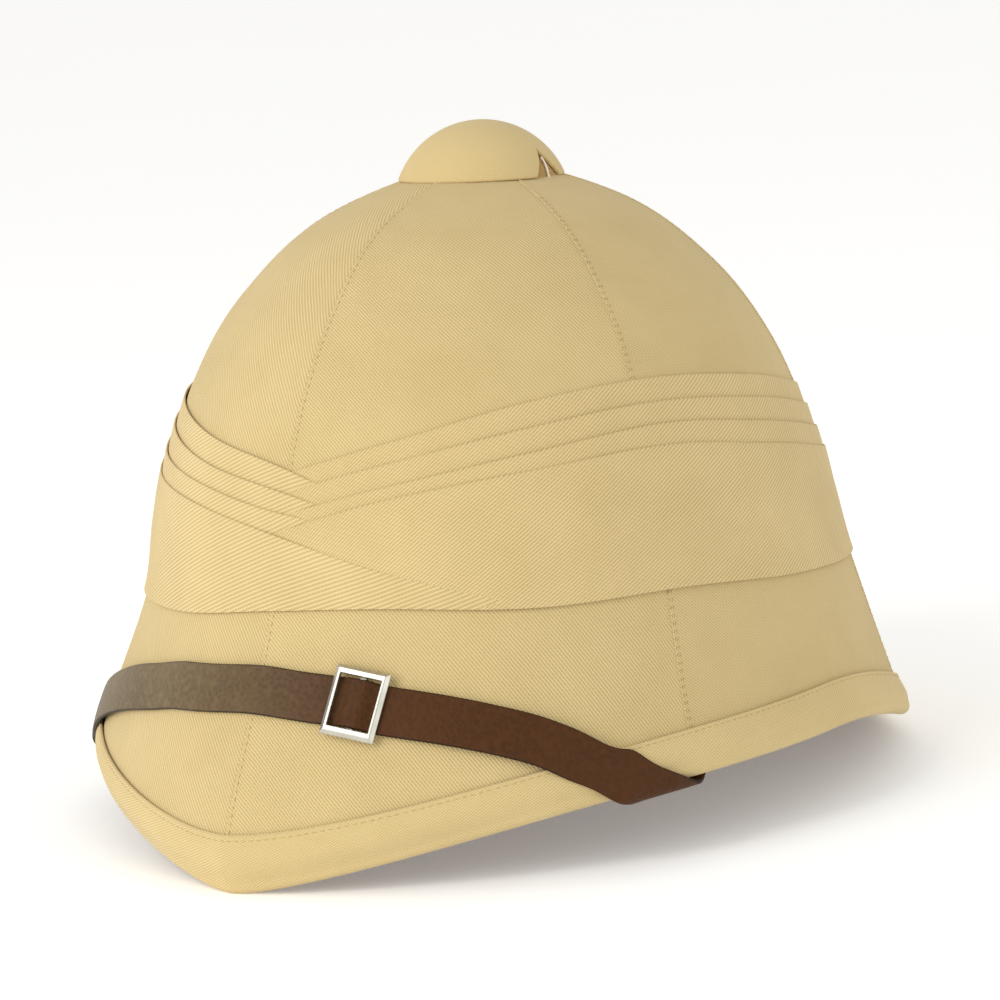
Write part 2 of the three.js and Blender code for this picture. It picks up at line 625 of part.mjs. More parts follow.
// Frame with a bevelled outside edge, and its centre bar carried on two lugs clear of the strap.
function addBuckle() {
  const corners = [[1, 1], [-1, 1], [-1, -1], [1, -1]];
  const halfLength = BUCKLE_LENGTH / 2;
  const halfHeight = BUCKLE_HEIGHT / 2;
  const front = BUCKLE_LIFT + BUCKLE_THICK;
  const profile = [
    { side: 0, end: 0, z: BUCKLE_LIFT },
    { side: 0, end: 0, z: front - BUCKLE_BEVEL },
    { side: BUCKLE_BEVEL, end: BUCKLE_BEVEL, z: front },
    { side: BUCKLE_SIDE_BAR, end: BUCKLE_END_BAR, z: front },
    { side: BUCKLE_SIDE_BAR, end: BUCKLE_END_BAR, z: BUCKLE_LIFT },
  ];
  const sections = corners.map(([x, y]) => profile.map(({ side, end, z }) =>
    new THREE.Vector3(x * (halfLength - side), y * (halfHeight - end), z)));
  const barMiddle = CENTRE_BAR_LIFT + CENTRE_BAR_THICK / 2;
  const lugDepth = front - BUCKLE_BEVEL - CENTRE_BAR_LIFT;
  const lugMiddle = halfHeight - BUCKLE_END_BAR / 2;
  const barHeight = 2 * lugMiddle + LUG_LENGTH;
  let buckle = toSolid(ringGeometry(sections));
  buckle = buckle.add(boxSolid(CENTRE_BAR_WIDTH, barHeight, CENTRE_BAR_THICK, 0, 0, barMiddle));
  for (const hand of [1, -1]) {
    const lift = CENTRE_BAR_LIFT + lugDepth / 2;
    buckle = buckle.add(boxSolid(CENTRE_BAR_WIDTH, LUG_LENGTH, lugDepth, 0, hand * lugMiddle, lift));
  }
  const piece = addPiece('buckle', toGeometry(buckle), NICKEL);
  const { turn, run, along, across, outwards } = strapFrame(BUCKLE_TURN);
  piece.position.copy(wrapPoint(turn, run, -RIM_MIDDLE));
  piece.quaternion.setFromRotationMatrix(new THREE.Matrix4().makeBasis(along, across, outwards));
}

addShell();
PANELS.forEach(addCoverPanel);
addBinding();
FOLDS.forEach((fold, order) => addFold(order));
addButton();
addStrap();
addBuckle();

// The helmet stands centred over the origin.
const extent = new THREE.Box3().setFromObject(helmet);
helmet.position.y = -(extent.min.y + extent.max.y) / 2;

export default helmet;
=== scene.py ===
# %% [markdown]
# # A pith helmet
# The helmet is a moulded cork shell under six gores of khaki twill. A tape binds the brim, a
# pleated scarf is wound round the crown, a covered button closes the vent on top, and a leather
# chin strap is worn up over the peak. Every piece is laid on one wall, so the lesson first
# describes that wall and then dresses it from the inside out.

# %% The frame
import math

import bmesh
import bpy
import numpy as np
from mathutils import Matrix, Vector


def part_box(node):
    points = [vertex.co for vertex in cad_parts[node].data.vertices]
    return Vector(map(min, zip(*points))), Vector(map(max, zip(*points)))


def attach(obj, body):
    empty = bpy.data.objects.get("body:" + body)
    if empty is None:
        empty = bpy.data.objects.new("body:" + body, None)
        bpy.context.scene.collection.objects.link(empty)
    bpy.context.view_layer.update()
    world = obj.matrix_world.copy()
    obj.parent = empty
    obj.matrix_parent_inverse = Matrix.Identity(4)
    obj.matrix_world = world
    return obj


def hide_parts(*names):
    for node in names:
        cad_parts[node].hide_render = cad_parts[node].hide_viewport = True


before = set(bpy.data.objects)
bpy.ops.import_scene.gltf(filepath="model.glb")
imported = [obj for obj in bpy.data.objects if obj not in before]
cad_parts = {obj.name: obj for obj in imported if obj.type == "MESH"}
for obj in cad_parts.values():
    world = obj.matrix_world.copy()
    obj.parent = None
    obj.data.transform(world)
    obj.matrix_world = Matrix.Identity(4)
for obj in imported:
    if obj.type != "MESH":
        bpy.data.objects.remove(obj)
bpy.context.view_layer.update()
MM = 0.001


def new_object(name, data):
    made = bpy.data.objects.new(name, data)
    bpy.context.scene.collection.objects.link(made)
    return made


# %% [markdown]
# ## The wall
# A helmet block is turned and carved to a handful of sections. The wall below is the same idea: a
# short table of sections from crown to brim, with a smooth curve through each column. A sculpted
# mesh could give the same form, but a formula can be asked for a point anywhere, with a lift off
# the cloth, so all later pieces fit each other without trial and error. Sizes are in millimetres.

# %% Sections of the wall
SECTION_COLUMNS = "down half_width front rear centre side peak tail point".split()
SECTIONS = [
    (0, 0, 0, 0, 8, 205.5, 205.5, 205.5, 0),
    (36, 46, 52, 45, 5, 193, 193, 193, 0),
    (76, 75, 79.5, 81.5, 1.5, 169.5, 169.5, 169.5, 0),
    (117, 92.5, 99, 105.5, 0, 141.5, 141.5, 141.5, 0),
    (158, 102.5, 113, 120, 0, 109.5, 109.5, 109.5, 0),
    (198, 108.5, 123.5, 131, 0, 77.5, 77.5, 77.5, 0),
    (256, 122, 152.8, 150.5, 0, 39.5, 18.5, 12.2, 0.22),
    (288, 127.2, 152.3, 149.5, 0, 29.6, 2.6, 2.45, 0.36),
]
SECTION = dict(zip(SECTION_COLUMNS, np.array(SECTIONS, float).T))
LEVEL_AT_TOP = {"centre", "side", "peak", "tail"}
VENT_DOWN, BINDING_TOP, BRIM_EDGE = 6.6, 256.0, 288.0
PEAK_DROP, TAIL_REACH = 3.5, 1.0


def smooth_step(value):
    t = np.clip(value, 0, 1)
    return t * t * (3 - 2 * t)


def bell(distance, width):
    return np.exp(-((distance / width) ** 2))


def rolled_edge(from_edge, radius, least=0.0):
    """Share of a sheet's thickness that is left near an edge rolled to a radius."""
    return np.sqrt(np.maximum(1 - np.maximum(1 - from_edge / radius, 0) ** 2, least))


def smooth_curve(knots, values, at, first_slope=None, last_slope=None):
    """A smooth curve through the knots, straight before the first of them."""
    knots, values, at = (np.asarray(a, float) for a in (knots, values, at))
    ahead = np.minimum(np.arange(len(knots)) + 1, len(knots) - 1)
    behind = np.maximum(np.arange(len(knots)) - 1, 0)
    slopes = (values[ahead] - values[behind]) / (knots[ahead] - knots[behind])
    if first_slope is not None:
        slopes[0] = first_slope
    if last_slope is not None:
        slopes[-1] = last_slope
    i = np.clip(np.searchsorted(knots, at, side="right") - 1, 0, len(knots) - 2)
    length = knots[i + 1] - knots[i]
    t = (at - knots[i]) / length
    bend = slopes[i] * (t**3 - 2 * t**2 + t) + slopes[i + 1] * (t**3 - t**2)
    inside = values[i] * (2 * t**3 - 3 * t**2 + 1) + values[i + 1] * (3 * t**2 - 2 * t**3) + bend * length
    return np.where(at < knots[0], values[0] + slopes[0] * (at - knots[0]), inside)


def wall_point(turn, down):
    """Outside of the cover, by the angle round from the front and the place down the wall."""
    turn, down = np.broadcast_arrays(np.asarray(turn, float), np.asarray(down, float))
    at = {}
    for column in SECTION_COLUMNS[1:]:
        slope = 0.0 if column in LEVEL_AT_TOP else None
        at[column] = smooth_curve(SECTION["down"], SECTION[column], down, slope)
    cosine, sine = np.cos(turn), np.sin(turn)
    to_front = np.maximum(cosine, 0)
    to_back = smooth_step(-cosine / TAIL_REACH)
    x = at["half_width"] * np.sign(sine) * np.abs(sine) ** (1 + at["point"] * to_front**2)
    y = at["centre"] - cosine * np.where(cosine > 0, at["front"], at["rear"])
    z = at["side"] + (at["peak"] - at["side"]) * to_front**PEAK_DROP + (at["tail"] - at["side"]) * to_back
    return np.stack([x, y, z], -1)


def unit(vectors):
    return vectors / np.linalg.norm(vectors, axis=-1, keepdims=True)


TURN_STEP, DOWN_STEP = 1e-3, 0.05


def wall_frame(turn, down):
    """Directions at a place on the wall: outwards, and on down past the brim's edge."""
    turn, down = np.asarray(turn, float), np.asarray(down, float)
    along = unit(wall_point(turn + TURN_STEP, down) - wall_point(turn - TURN_STEP, down))
    downwards = wall_point(turn, down + DOWN_STEP) - wall_point(turn, down - DOWN_STEP)
    outwards = unit(np.cross(downwards, along))
    return outwards, np.cross(along, outwards)


def wall_skin(turn, down, lift):
    outwards, _ = wall_frame(turn, down)
    return wall_point(turn, down) + outwards * np.asarray(lift, float)[..., None]


print("crown to brim in front, mm:", round(float(wall_point(0, 0)[2] - wall_point(0, BRIM_EDGE)[2]), 1))

# %% [markdown]
# ## The rim and the frame's origin
# The wall ends in a rim: cork, cover and tape together make a bead a few millimetres across. The
# strap goes round it, so the rim gets a function of its own. The solids are centred over the
# origin, and the binding's box tells how far the crown's axis was moved to do that.

# %% Rim
GAP, COVER_THICK, SHELL_THICK, BINDING_THICK = 0.3, 1.0, 2.2, 1.0
SHELL_OUT = -COVER_THICK - GAP
SHELL_IN = SHELL_OUT - SHELL_THICK
BINDING_OUT = GAP + BINDING_THICK
BINDING_IN = SHELL_IN - GAP - BINDING_THICK
RIM_MIDDLE = (BINDING_OUT + BINDING_IN) / 2
RIM_RADIUS = (BINDING_OUT - BINDING_IN) / 2


def rim_point(turn, angle, reach):
    """Point round the rim's bead: angle runs from straight out, past the edge at 0, to straight in."""
    outwards, onwards = wall_frame(turn, BRIM_EDGE)
    middle = wall_point(turn, BRIM_EDGE) + outwards * RIM_MIDDLE
    angle, reach = np.broadcast_arrays(np.asarray(angle, float), np.asarray(reach, float))
    out, on = reach * np.sin(angle), reach * np.cos(angle)
    return middle + outwards * out[..., None] + onwards * on[..., None]


HALF_ROUND = np.linspace(math.pi / 2, -math.pi / 2, 9)
tail_downs = np.array([BINDING_TOP, (BINDING_TOP + BRIM_EDGE) / 2])
tail_face = wall_skin(math.pi, tail_downs, BINDING_OUT)
tail_reach = np.concatenate([tail_face, rim_point(math.pi, HALF_ROUND, RIM_RADIUS)])[:, 1].max()
AXIS_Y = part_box("brim_binding")[1].y / MM - tail_reach


def place(points):
    """Millimetres on the wall to metres in the frame."""
    return (np.asarray(points, float) + (0, AXIS_Y, 0)) * MM


print("crown's axis lies", round(AXIS_Y, 2), "mm from the frame's origin")

# %% [markdown]
# ## Camera
# The photograph looks at the wearer's left of the peak from a little above, through a long lens,
# and the helmet leans a few degrees in the picture. The camera takes that lean, so that the
# helmet itself stays level in its frame.

# %% Camera
IMAGE_SIDE, SENSOR = 1000, 36.0
FOCAL_PIXELS, CAMERA_DISTANCE = 4034.9, 1334.3
AZIMUTH, ELEVATION = math.radians(35.07), math.radians(9.01)
YAW, PITCH, ROLL = (math.radians(a) for a in (-0.18, -0.66, 4.10))
TARGET = Vector(place((0, 0, 110)))

level_share = math.cos(ELEVATION)
back = Vector((math.sin(AZIMUTH) * level_share, -math.cos(AZIMUTH) * level_share, math.sin(ELEVATION)))
right = (-back).cross(Vector((0, 0, 1))).normalized()
up = right.cross(-back)
turned = Matrix.Rotation(ROLL, 3, -back) @ Matrix.Rotation(YAW, 3, up) @ Matrix.Rotation(PITCH, 3, right)
axes = Matrix([turned @ right, turned @ up, turned @ back]).transposed()

camera = new_object("camera", bpy.data.cameras.new("camera"))
camera.data.sensor_width = SENSOR
camera.data.lens = FOCAL_PIXELS / IMAGE_SIDE * SENSOR
camera.data.clip_start, camera.data.clip_end = 0.05, 50
camera.matrix_world = Matrix.Translation(TARGET + back * CAMERA_DISTANCE * MM) @ axes.to_4x4()
bpy.context.scene.camera = camera
print("lens in mm:", round(camera.data.lens, 1))

# %% [markdown]
# ## Studio
# The picture is a catalogue shot on white: a broad soft lamp at the left front, a weaker one at
# the right, a small one above that the buckle catches, and a light table below that leaves hardly
# any shadow. One large pale floor and three area lamps do it. The plain view transform keeps the
# khaki from going grey.

# %% Floor and lamps
bpy.context.scene.view_settings.view_transform = "Standard"
world = bpy.data.worlds.new("studio")
bpy.context.scene.world = world
world.use_nodes = True
sky = world.node_tree.nodes
sky_place = sky.new("ShaderNodeTexCoord")
sky_height = sky.new("ShaderNodeSeparateXYZ")
sky_mix = sky.new("ShaderNodeMix")
sky_mix.data_type = "RGBA"
sky_mix.inputs["A"].default_value = (1.0, 0.99, 0.97, 1)
sky_mix.inputs["B"].default_value = (0.66, 0.655, 0.64, 1)
world.node_tree.links.new(sky_place.outputs["Generated"], sky_height.inputs[0])
world.node_tree.links.new(sky_height.outputs["Z"], sky_mix.inputs["Factor"])
world.node_tree.links.new(sky_mix.outputs[2], sky["Background"].inputs["Color"])
sky["Background"].inputs["Strength"].default_value = 1.0


def add_lamp(name, aside, height, towards, size, watts, colour):
    """Area lamp aimed at the helmet: aside to the camera's right, towards the camera, metres."""
    lamp = new_object(name, bpy.data.lights.new(name, "AREA"))
    lamp.data.shape = "DISK"
    lamp.data.size = size
    lamp.data.energy = watts
    lamp.data.color = colour
    level_back = Vector((back.x, back.y, 0)).normalized()
    lamp.location = TARGET + right * aside + level_back * towards + Vector((0, 0, height))
    lamp.rotation_mode = "QUATERNION"
    lamp.rotation_quaternion = (TARGET - lamp.location).to_track_quat("-Z", "Y")


add_lamp("key_lamp", aside=-1.6, height=0.6, towards=1.1, size=1.1, watts=14.5, colour=(1, 0.985, 0.975))
add_lamp("fill_lamp", aside=1.7, height=0.3, towards=0.9, size=1.6, watts=4.5, colour=(0.97, 0.99, 1))
add_lamp("top_lamp", aside=-0.95, height=1.3, towards=1.15, size=0.6, watts=5, colour=(1, 0.99, 0.97))

FLOOR_SIDE = 40.0
floor_mesh = bpy.data.meshes.new("floor")
floor_half = FLOOR_SIDE / 2
floor_corners = [(-floor_half, -floor_half, 0), (floor_half, -floor_half, 0),
                 (floor_half, floor_half, 0), (-floor_half, floor_half, 0)]
floor_mesh.from_pydata(floor_corners, [], [(0, 1, 2, 3)])
floor = new_object("floor", floor_mesh)
print("lamps and floor placed")

# %% [markdown]
# ## A small language for materials
# Blender builds a material from nodes. Wiring them by hand is slow to read, so one class wraps a
# socket: arithmetic on it adds Math nodes, and one method makes any other node.

# %% Socket arithmetic
class Socket:
    """An output inside a material. Arithmetic on it adds Math nodes."""

    def __init__(self, tree, output):
        self.tree, self.output = tree, output

    def make(self, kind, settings=None, inputs=None, output=0):
        """Any node: its type, its settings, which are set first, and its inputs by name or number."""
        node = self.tree.nodes.new(kind)
        for name, value in (settings or {}).items():
            if name == "stops":
                ramp = node.color_ramp
                while len(ramp.elements) < len(value):
                    ramp.elements.new(1)
                for element, (position, colour) in zip(ramp.elements, value):
                    element.position, element.color = position, (*colour, 1)
            else:
                setattr(node, name, value)
        for name, value in (inputs or {}).items():
            if isinstance(value, Socket):
                self.tree.links.new(value.output, node.inputs[name])
            else:
                node.inputs[name].default_value = value
        return Socket(self.tree, node.outputs[output])

    def maths(self, operation, *others):
        values = dict(enumerate((self, *others)))
        return self.make("ShaderNodeMath", {"operation": operation}, values)

    def clamped(self):
        return self.maths("MAXIMUM", 0).maths("MINIMUM", 1)

    def __add__(self, other):
        return self.maths("ADD", other)

    def __mul__(self, other):
        return self.maths("MULTIPLY", other)

    def __sub__(self, other):
        return self.maths("SUBTRACT", other)

    def __rsub__(self, other):
        return self.make("ShaderNodeMath", {"operation": "SUBTRACT"}, {0: other, 1: self})

    def __truediv__(self, other):
        return self.maths("DIVIDE", other)

    __radd__, __rmul__ = __add__, __mul__


def mix_colours(mask, first, second):
    """Colours blended by a mask."""
    return mask.make("ShaderNodeMix", {"data_type": "RGBA"}, {"Factor": mask, "A": first, "B": second}, 2)


def colour(red, green, blue):
    """A colour, 0 to 255, as light."""
    def light(value):
        share = value / 255
        return share / 12.92 if share <= 0.04045 else ((share + 0.055) / 1.055) ** 2.4
    return (light(red), light(green), light(blue), 1)


def new_material(name, **constants):
    """A material, its shader's socket maker and its shader. Constants are set on the shader itself."""
    material = bpy.data.materials.new(name)
    material.use_nodes = True
    tree = material.node_tree
    shader = tree.nodes["Principled BSDF"]
    for socket, value in constants.items():
        shader.inputs[socket.replace("_", " ")].default_value = value
    coordinates = tree.nodes.new("ShaderNodeTexCoord")
    return material, Socket(tree, coordinates.outputs["Object"]), shader


def feed(shader, name, socket):
    socket.tree.links.new(socket.output, shader.inputs[name])


def bumped(height, strength, distance):
    return height.make("ShaderNodeBump", None, {"Strength": strength, "Distance": distance, "Height": height})


def noise(where, scale, dimensions="3D", **inputs):
    """Noise in cells of about 1 / scale metres."""
    inputs.update(Vector=where, Scale=scale)
    return where.make("ShaderNodeTexNoise", {"noise_dimensions": dimensions}, inputs)


floor_material, floor_place, floor_shader = new_material("pale_floor", Roughness=0.9, Emission_Strength=0.2)
floor_grain = noise(floor_place, 3.0)
feed(floor_shader, "Base Color", mix_colours(floor_grain, (0.955, 0.955, 0.95, 1), (0.97, 0.97, 0.965, 1)))
floor_shader.inputs["Emission Color"].default_value = (1, 1, 1, 1)
floor_mesh.materials.append(floor_material)
print("floor painted")

# %% [markdown]
# ## Twill
# The cloth is a strong cotton twill: pale ridges about a millimetre apart run across the grain,
# with tan hollows between them. An image would repeat and blur, so the ridges are a wave on the
# cloth's own flat coordinates, in metres, which every cloth piece carries as a UV map. Short
# floats along each ridge, wandering lines and a soft mottle keep it from looking printed.

# %% Twill material
FLOAT_LENGTH = 1.4 * MM
MOTTLE_SIZE = 22.0
WANDER_SIZE, WANDER = 55.0, 0.22


def cloth_axes(where):
    """A sheet's own flat coordinates in metres, and the two of them apart."""
    flat = where.make("ShaderNodeUVMap", {"uv_map": "cloth"})
    along, above = (flat.make("ShaderNodeSeparateXYZ", None, {0: flat}, n) for n in (0, 1))
    return flat, along, above


def twill(name, ridge, hollow, lean, pitch, relief=0.55):
    """Cotton twill. lean: the ridges' angle up to the right on the outside of the cloth, degrees.
    pitch: from ridge to ridge, mm. relief: how strongly the ridges stand out."""
    material, place_in_object, shader = new_material(name, Roughness=0.93, Specular_IOR_Level=0.18,
                                                     Sheen_Weight=0.12, Sheen_Roughness=0.6)
    flat, along, above = cloth_axes(place_in_object)
    wander = noise(flat, WANDER_SIZE, "2D")
    angle = math.radians(lean)
    across = (above * math.cos(angle) - along * math.sin(angle)) / (pitch * MM) + wander * WANDER
    wave = (across * (2 * math.pi)).maths("COSINE") * 0.5 + 0.5
    line = across.maths("FLOOR")
    float_place = (along * math.cos(angle) + above * math.sin(angle)) / FLOAT_LENGTH + line * 0.38
    floats = (float_place * (2 * math.pi)).maths("COSINE") * 0.5 + 0.5
    mottle = noise(flat, MOTTLE_SIZE, "2D", Detail=5.0, Roughness=0.65)
    height = wave * 0.8 + floats * 0.2
    tone = wave * 0.78 + floats * 0.14 + mottle * 0.5 - 0.22
    cloth_colour = mix_colours(tone.clamped(), hollow, ridge)
    feed(shader, "Base Color", cloth_colour)
    feed(shader, "Normal", bumped(height, relief, 0.25 * MM))
    return material


RIDGE, HOLLOW = colour(216, 194, 142), colour(180, 157, 104)
COVER_LEAN, SCARF_LEAN, BINDING_LEAN = -47, 34, 26
cover_twill = twill("cover_twill", RIDGE, HOLLOW, COVER_LEAN, 0.93)
scarf_twill = twill("scarf_twill", colour(220, 197, 145), HOLLOW, SCARF_LEAN, 0.97)
binding_twill = twill("binding_twill", RIDGE, colour(188, 165, 112), BINDING_LEAN, 0.76, 0.4)
button_twill = twill("button_twill", colour(210, 188, 136), colour(192, 169, 116), COVER_LEAN, 0.7, 0.25)
print("twill ridges lean, degrees:", COVER_LEAN, SCARF_LEAN, BINDING_LEAN)

# %% [markdown]
# ## Laying a sheet on the wall
# Cloth and leather are thin walls with two faces and rounded edges. A Solidify modifier would do,
# but here each face is worked out on its own, so that an edge can be rolled, pinched or tucked.
# The helper joins the two faces into one closed skin and stores the cloth's flat coordinates.

# %% Closed sheets
def sheet_object(name, outer, inner, flat, material, closed=False):
    """A closed sheet from its outer and inner faces, as grids of points in mm (columns, rows, xyz)."""
    columns, rows = outer.shape[:2]
    rings = np.concatenate([outer, inner[:, ::-1]], 1)
    ring_flat = np.concatenate([flat, flat[:, ::-1]], 1)
    count = 2 * rows
    i = np.arange(columns if closed else columns - 1)[:, None]
    j = np.arange(count)[None]
    k = (j + 1) % count

    def corner(column, row):
        return (column % columns) * count + row + 0 * column

    quads = np.stack([corner(i, j), corner(i + 1, j), corner(i + 1, k), corner(i, k)], -1).reshape(-1, 4)
    quad_flat = np.stack([ring_flat[i, j], ring_flat[i + 1, j], ring_flat[i + 1, k], ring_flat[i, k]], 2)
    quad_flat = quad_flat.reshape(-1, 2)
    if not closed:
        near = np.arange(rows - 1)
        ends = []
        end_flat = []
        for column, order in ((0, 1), (columns - 1, -1)):
            strip = [near, count - 1 - near, count - 2 - near, near + 1]
            ends.append(np.stack(strip[::order], -1) + column * count)
            end_flat.append(np.stack([ring_flat[column, s] for s in strip[::order]], 1))
        quads = np.concatenate([quads, *ends])
        quad_flat = np.concatenate([quad_flat, *(e.reshape(-1, 2) for e in end_flat)])
    points = place(rings.reshape(-1, 3))
    a, b, c, d = (points[quads[:, n]] for n in range(4))
    volume = (a * np.cross(b, c)).sum() + (a * np.cross(c, d)).sum()
    if volume < 0:
        quads = quads[:, ::-1]
        quad_flat = quad_flat.reshape(-1, 4, 2)[:, ::-1].reshape(-1, 2)
    return finished_mesh(name, points, quads, quad_flat, material)


SHARP_ANGLE = math.radians(42)


def finished_mesh(name, points, faces, corner_flat, material):
    mesh = bpy.data.meshes.new(name)
    mesh.from_pydata(points.tolist(), [], faces.tolist())
    layer = mesh.uv_layers.new(name="cloth")
    layer.data.foreach_set("uv", np.asarray(corner_flat, np.float32).ravel())
    mesh.polygons.foreach_set("use_smooth", [True] * len(mesh.polygons))
    mesh.set_sharp_from_angle(angle=SHARP_ANGLE)
    mesh.materials.append(material)
    return new_object(name, mesh)


def steps_between(points, axis):
    """Distance run along a grid of points, from its first row or column."""
    lengths = np.linalg.norm(np.diff(points, axis=axis), axis=-1)
    start = np.zeros_like(np.take(lengths, [0], axis))
    return np.concatenate([start, np.cumsum(lengths, axis)], axis)


def ripple(seed, *fields):
    """A gentle made-up unevenness of about plus and minus 1, the same every run."""
    chance = np.random.default_rng(seed)
    total = 0.0
    for _ in range(5):
        phase = chance.uniform(0, 2 * math.pi)
        total = total + np.sin(sum(f * chance.uniform(0.5, 1.5) for f in fields) + phase)
    return total / 3


print("sheet helpers ready")

# %% [markdown]
# ## Cork shell
# The body is pressed cork, brown and crumbly, and it shows only from below. Its two faces follow
# the wall at two depths. The cork is cells of slightly different browns with dark pits between.

# %% Cork shell
CORK_CELL = 420.0
cork, cork_place, cork_shader = new_material("pressed_cork", Roughness=0.95, Specular_IOR_Level=0.15)
cells = cork_place.make("ShaderNodeTexVoronoi", None, {"Vector": cork_place, "Scale": CORK_CELL}, "Color")
cell_tone = cells.make("ShaderNodeSeparateColor", None, {0: cells}, 0)
pits = cork_place.make("ShaderNodeTexVoronoi", {"feature": "DISTANCE_TO_EDGE"},
                       {"Vector": cork_place, "Scale": CORK_CELL})
cork_noise = noise(cork_place, 60.0, Detail=4.0)
cork_tone = cell_tone * 0.55 + cork_noise * 0.6 - 0.1
cork_colour = mix_colours(cork_tone, colour(126, 88, 50), colour(196, 156, 102))
pit_mask = (1 - pits * 9).maths("MAXIMUM", 0) * 0.5
feed(cork_shader, "Base Color", mix_colours(pit_mask, cork_colour, colour(78, 50, 26)))
feed(cork_shader, "Normal", bumped(pits.maths("MINIMUM", 0.12) * 8, 0.5, 0.4 * MM))

SHELL_COLUMNS, SHELL_ROWS = 180, 90
shell_turns = np.linspace(0, 2 * math.pi, SHELL_COLUMNS, endpoint=False)[:, None]
shell_downs = np.linspace(VENT_DOWN, BRIM_EDGE, SHELL_ROWS)[None]
shell_faces = [wall_skin(shell_turns, shell_downs, lift) for lift in (SHELL_OUT, SHELL_IN)]
no_flat = np.zeros((SHELL_COLUMNS + 1, SHELL_ROWS, 2))
shell = sheet_object("cork_shell", *shell_faces, no_flat, cork, closed=True)
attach(shell, "root")
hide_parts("shell")
print("shell faces:", len(shell.data.polygons))

# %% [markdown]
# ## Cover panels
# Six gores are sewn edge to edge and stretched over the cork. Each seam is lapped: the gore
# behind it is folded under and laid over its neighbour, then stitched down a couple of
# millimetres in. The fold stands a little proud, and the stitching draws the cloth in.

# %% Gores
PANELS = [("front_left", 0, 66), ("side_left", 66, 122), ("rear_left", 122, 180),
          ("rear_right", 180, 238), ("side_right", 238, 294), ("front_right", 294, 360)]
SEAM_STEPS = np.array([0, 0.15, 0.3, 0.55, 0.85, 1.2, 1.5, 1.8, 2.2, 2.7, 3.5, 4.6, 6.5])
LAP_WIDTH, LAP_RISE, LAP_FADE, LAP_ROLL, ROLL_DROP = 1.5, 0.24, 0.9, 0.4, 0.5
UNDER_DIP, UNDER_WIDTH = 0.12, 0.5
STITCH_DRAW, STITCH_HALF_WIDTH, PUCKER, PUCKER_LENGTH = 0.14, 0.35, 0.05, 5.0
PANEL_MIDDLE_STEPS, PANEL_ROWS = 34, 190
COVER_RIPPLE, SEAM_HELD, SEAM_FREE, PUCKER_REACH = 0.10, 4, 10, 2.2
panel_downs = np.linspace(VENT_DOWN, BRIM_EDGE, PANEL_ROWS)


def turns_along(first, last, downs, distances):
    """Angles at distances from the first angle, row by row down the wall."""
    fine = np.linspace(first, last, 500)
    runs = steps_between(wall_point(fine[:, None], downs[None]), 0)
    return np.stack([np.interp(d, r, fine) for d, r in zip(distances.T, runs.T)], -1)


def panel_turns(start, end):
    """Angles across a gore: close together beside its seams, even in the middle."""
    first, last = math.radians(start), math.radians(end)
    fine = np.linspace(first, last, 500)[:, None]
    width = steps_between(wall_point(fine, panel_downs[None]), 0)[-1:]
    near = SEAM_STEPS[:, None] * np.minimum(1, width / (4 * SEAM_STEPS[-1]))
    share = np.linspace(0, 1, PANEL_MIDDLE_STEPS)[1:-1, None]
    middle = near[-1:] + (width - 2 * near[-1:]) * share
    return turns_along(first, last, panel_downs, np.concatenate([near, middle, width - near[::-1]]))


def lapped_lift(edge, over):
    """Lift of the cloth by the distance from its seam, on the gore that laps over or the one beneath."""
    if not over:
        return -UNDER_DIP * bell(edge, UNDER_WIDTH)
    lap = LAP_RISE * (1 - smooth_step((edge - LAP_WIDTH) / LAP_FADE))
    rolled = ROLL_DROP * np.maximum(1 - edge / LAP_ROLL, 0) ** 2
    drawn = STITCH_DRAW * bell(edge - LAP_WIDTH, STITCH_HALF_WIDTH)
    return lap - rolled - drawn


def add_panel(name, start, end, seed):
    turns = panel_turns(start, end)
    skin = wall_point(turns, panel_downs[None])
    along, down = steps_between(skin, 0), steps_between(skin, 1)
    lift = lapped_lift(along, True) + lapped_lift(along[-1:] - along, False)
    to_seam = np.minimum(along, along[-1:] - along)
    middle = smooth_step((to_seam - SEAM_HELD) / SEAM_FREE)
    waves = np.sin(down * 2 * math.pi / PUCKER_LENGTH + 2 * ripple(seed + 60, down / 23))
    lift = lift + PUCKER * waves * np.exp(-to_seam / PUCKER_REACH)
    lift = lift + COVER_RIPPLE * middle * ripple(seed, turns * 14, panel_downs[None] / 16)
    outer = wall_skin(turns, panel_downs[None], lift)
    inner = wall_skin(turns, panel_downs[None], -COVER_THICK)
    flat = np.stack([along - along[-1:] / 2, -down], -1) * MM
    panel = sheet_object("cover_gore_" + name, outer, inner, flat, cover_twill)
    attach(panel, "root")
    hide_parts("cover_panel_" + name)
    return panel


panels = [add_panel(name, start, end, seed) for seed, (name, start, end) in enumerate(PANELS)]

# %% [markdown]
# ## Brim binding
# A bias tape is folded over the edge of the brim and stitched through near its edges. Its section
# is swept round the rim: a rolled upper edge, a hollow where the stitching pulls, a full face, and
# a round bead below that flattens where the helmet rests.

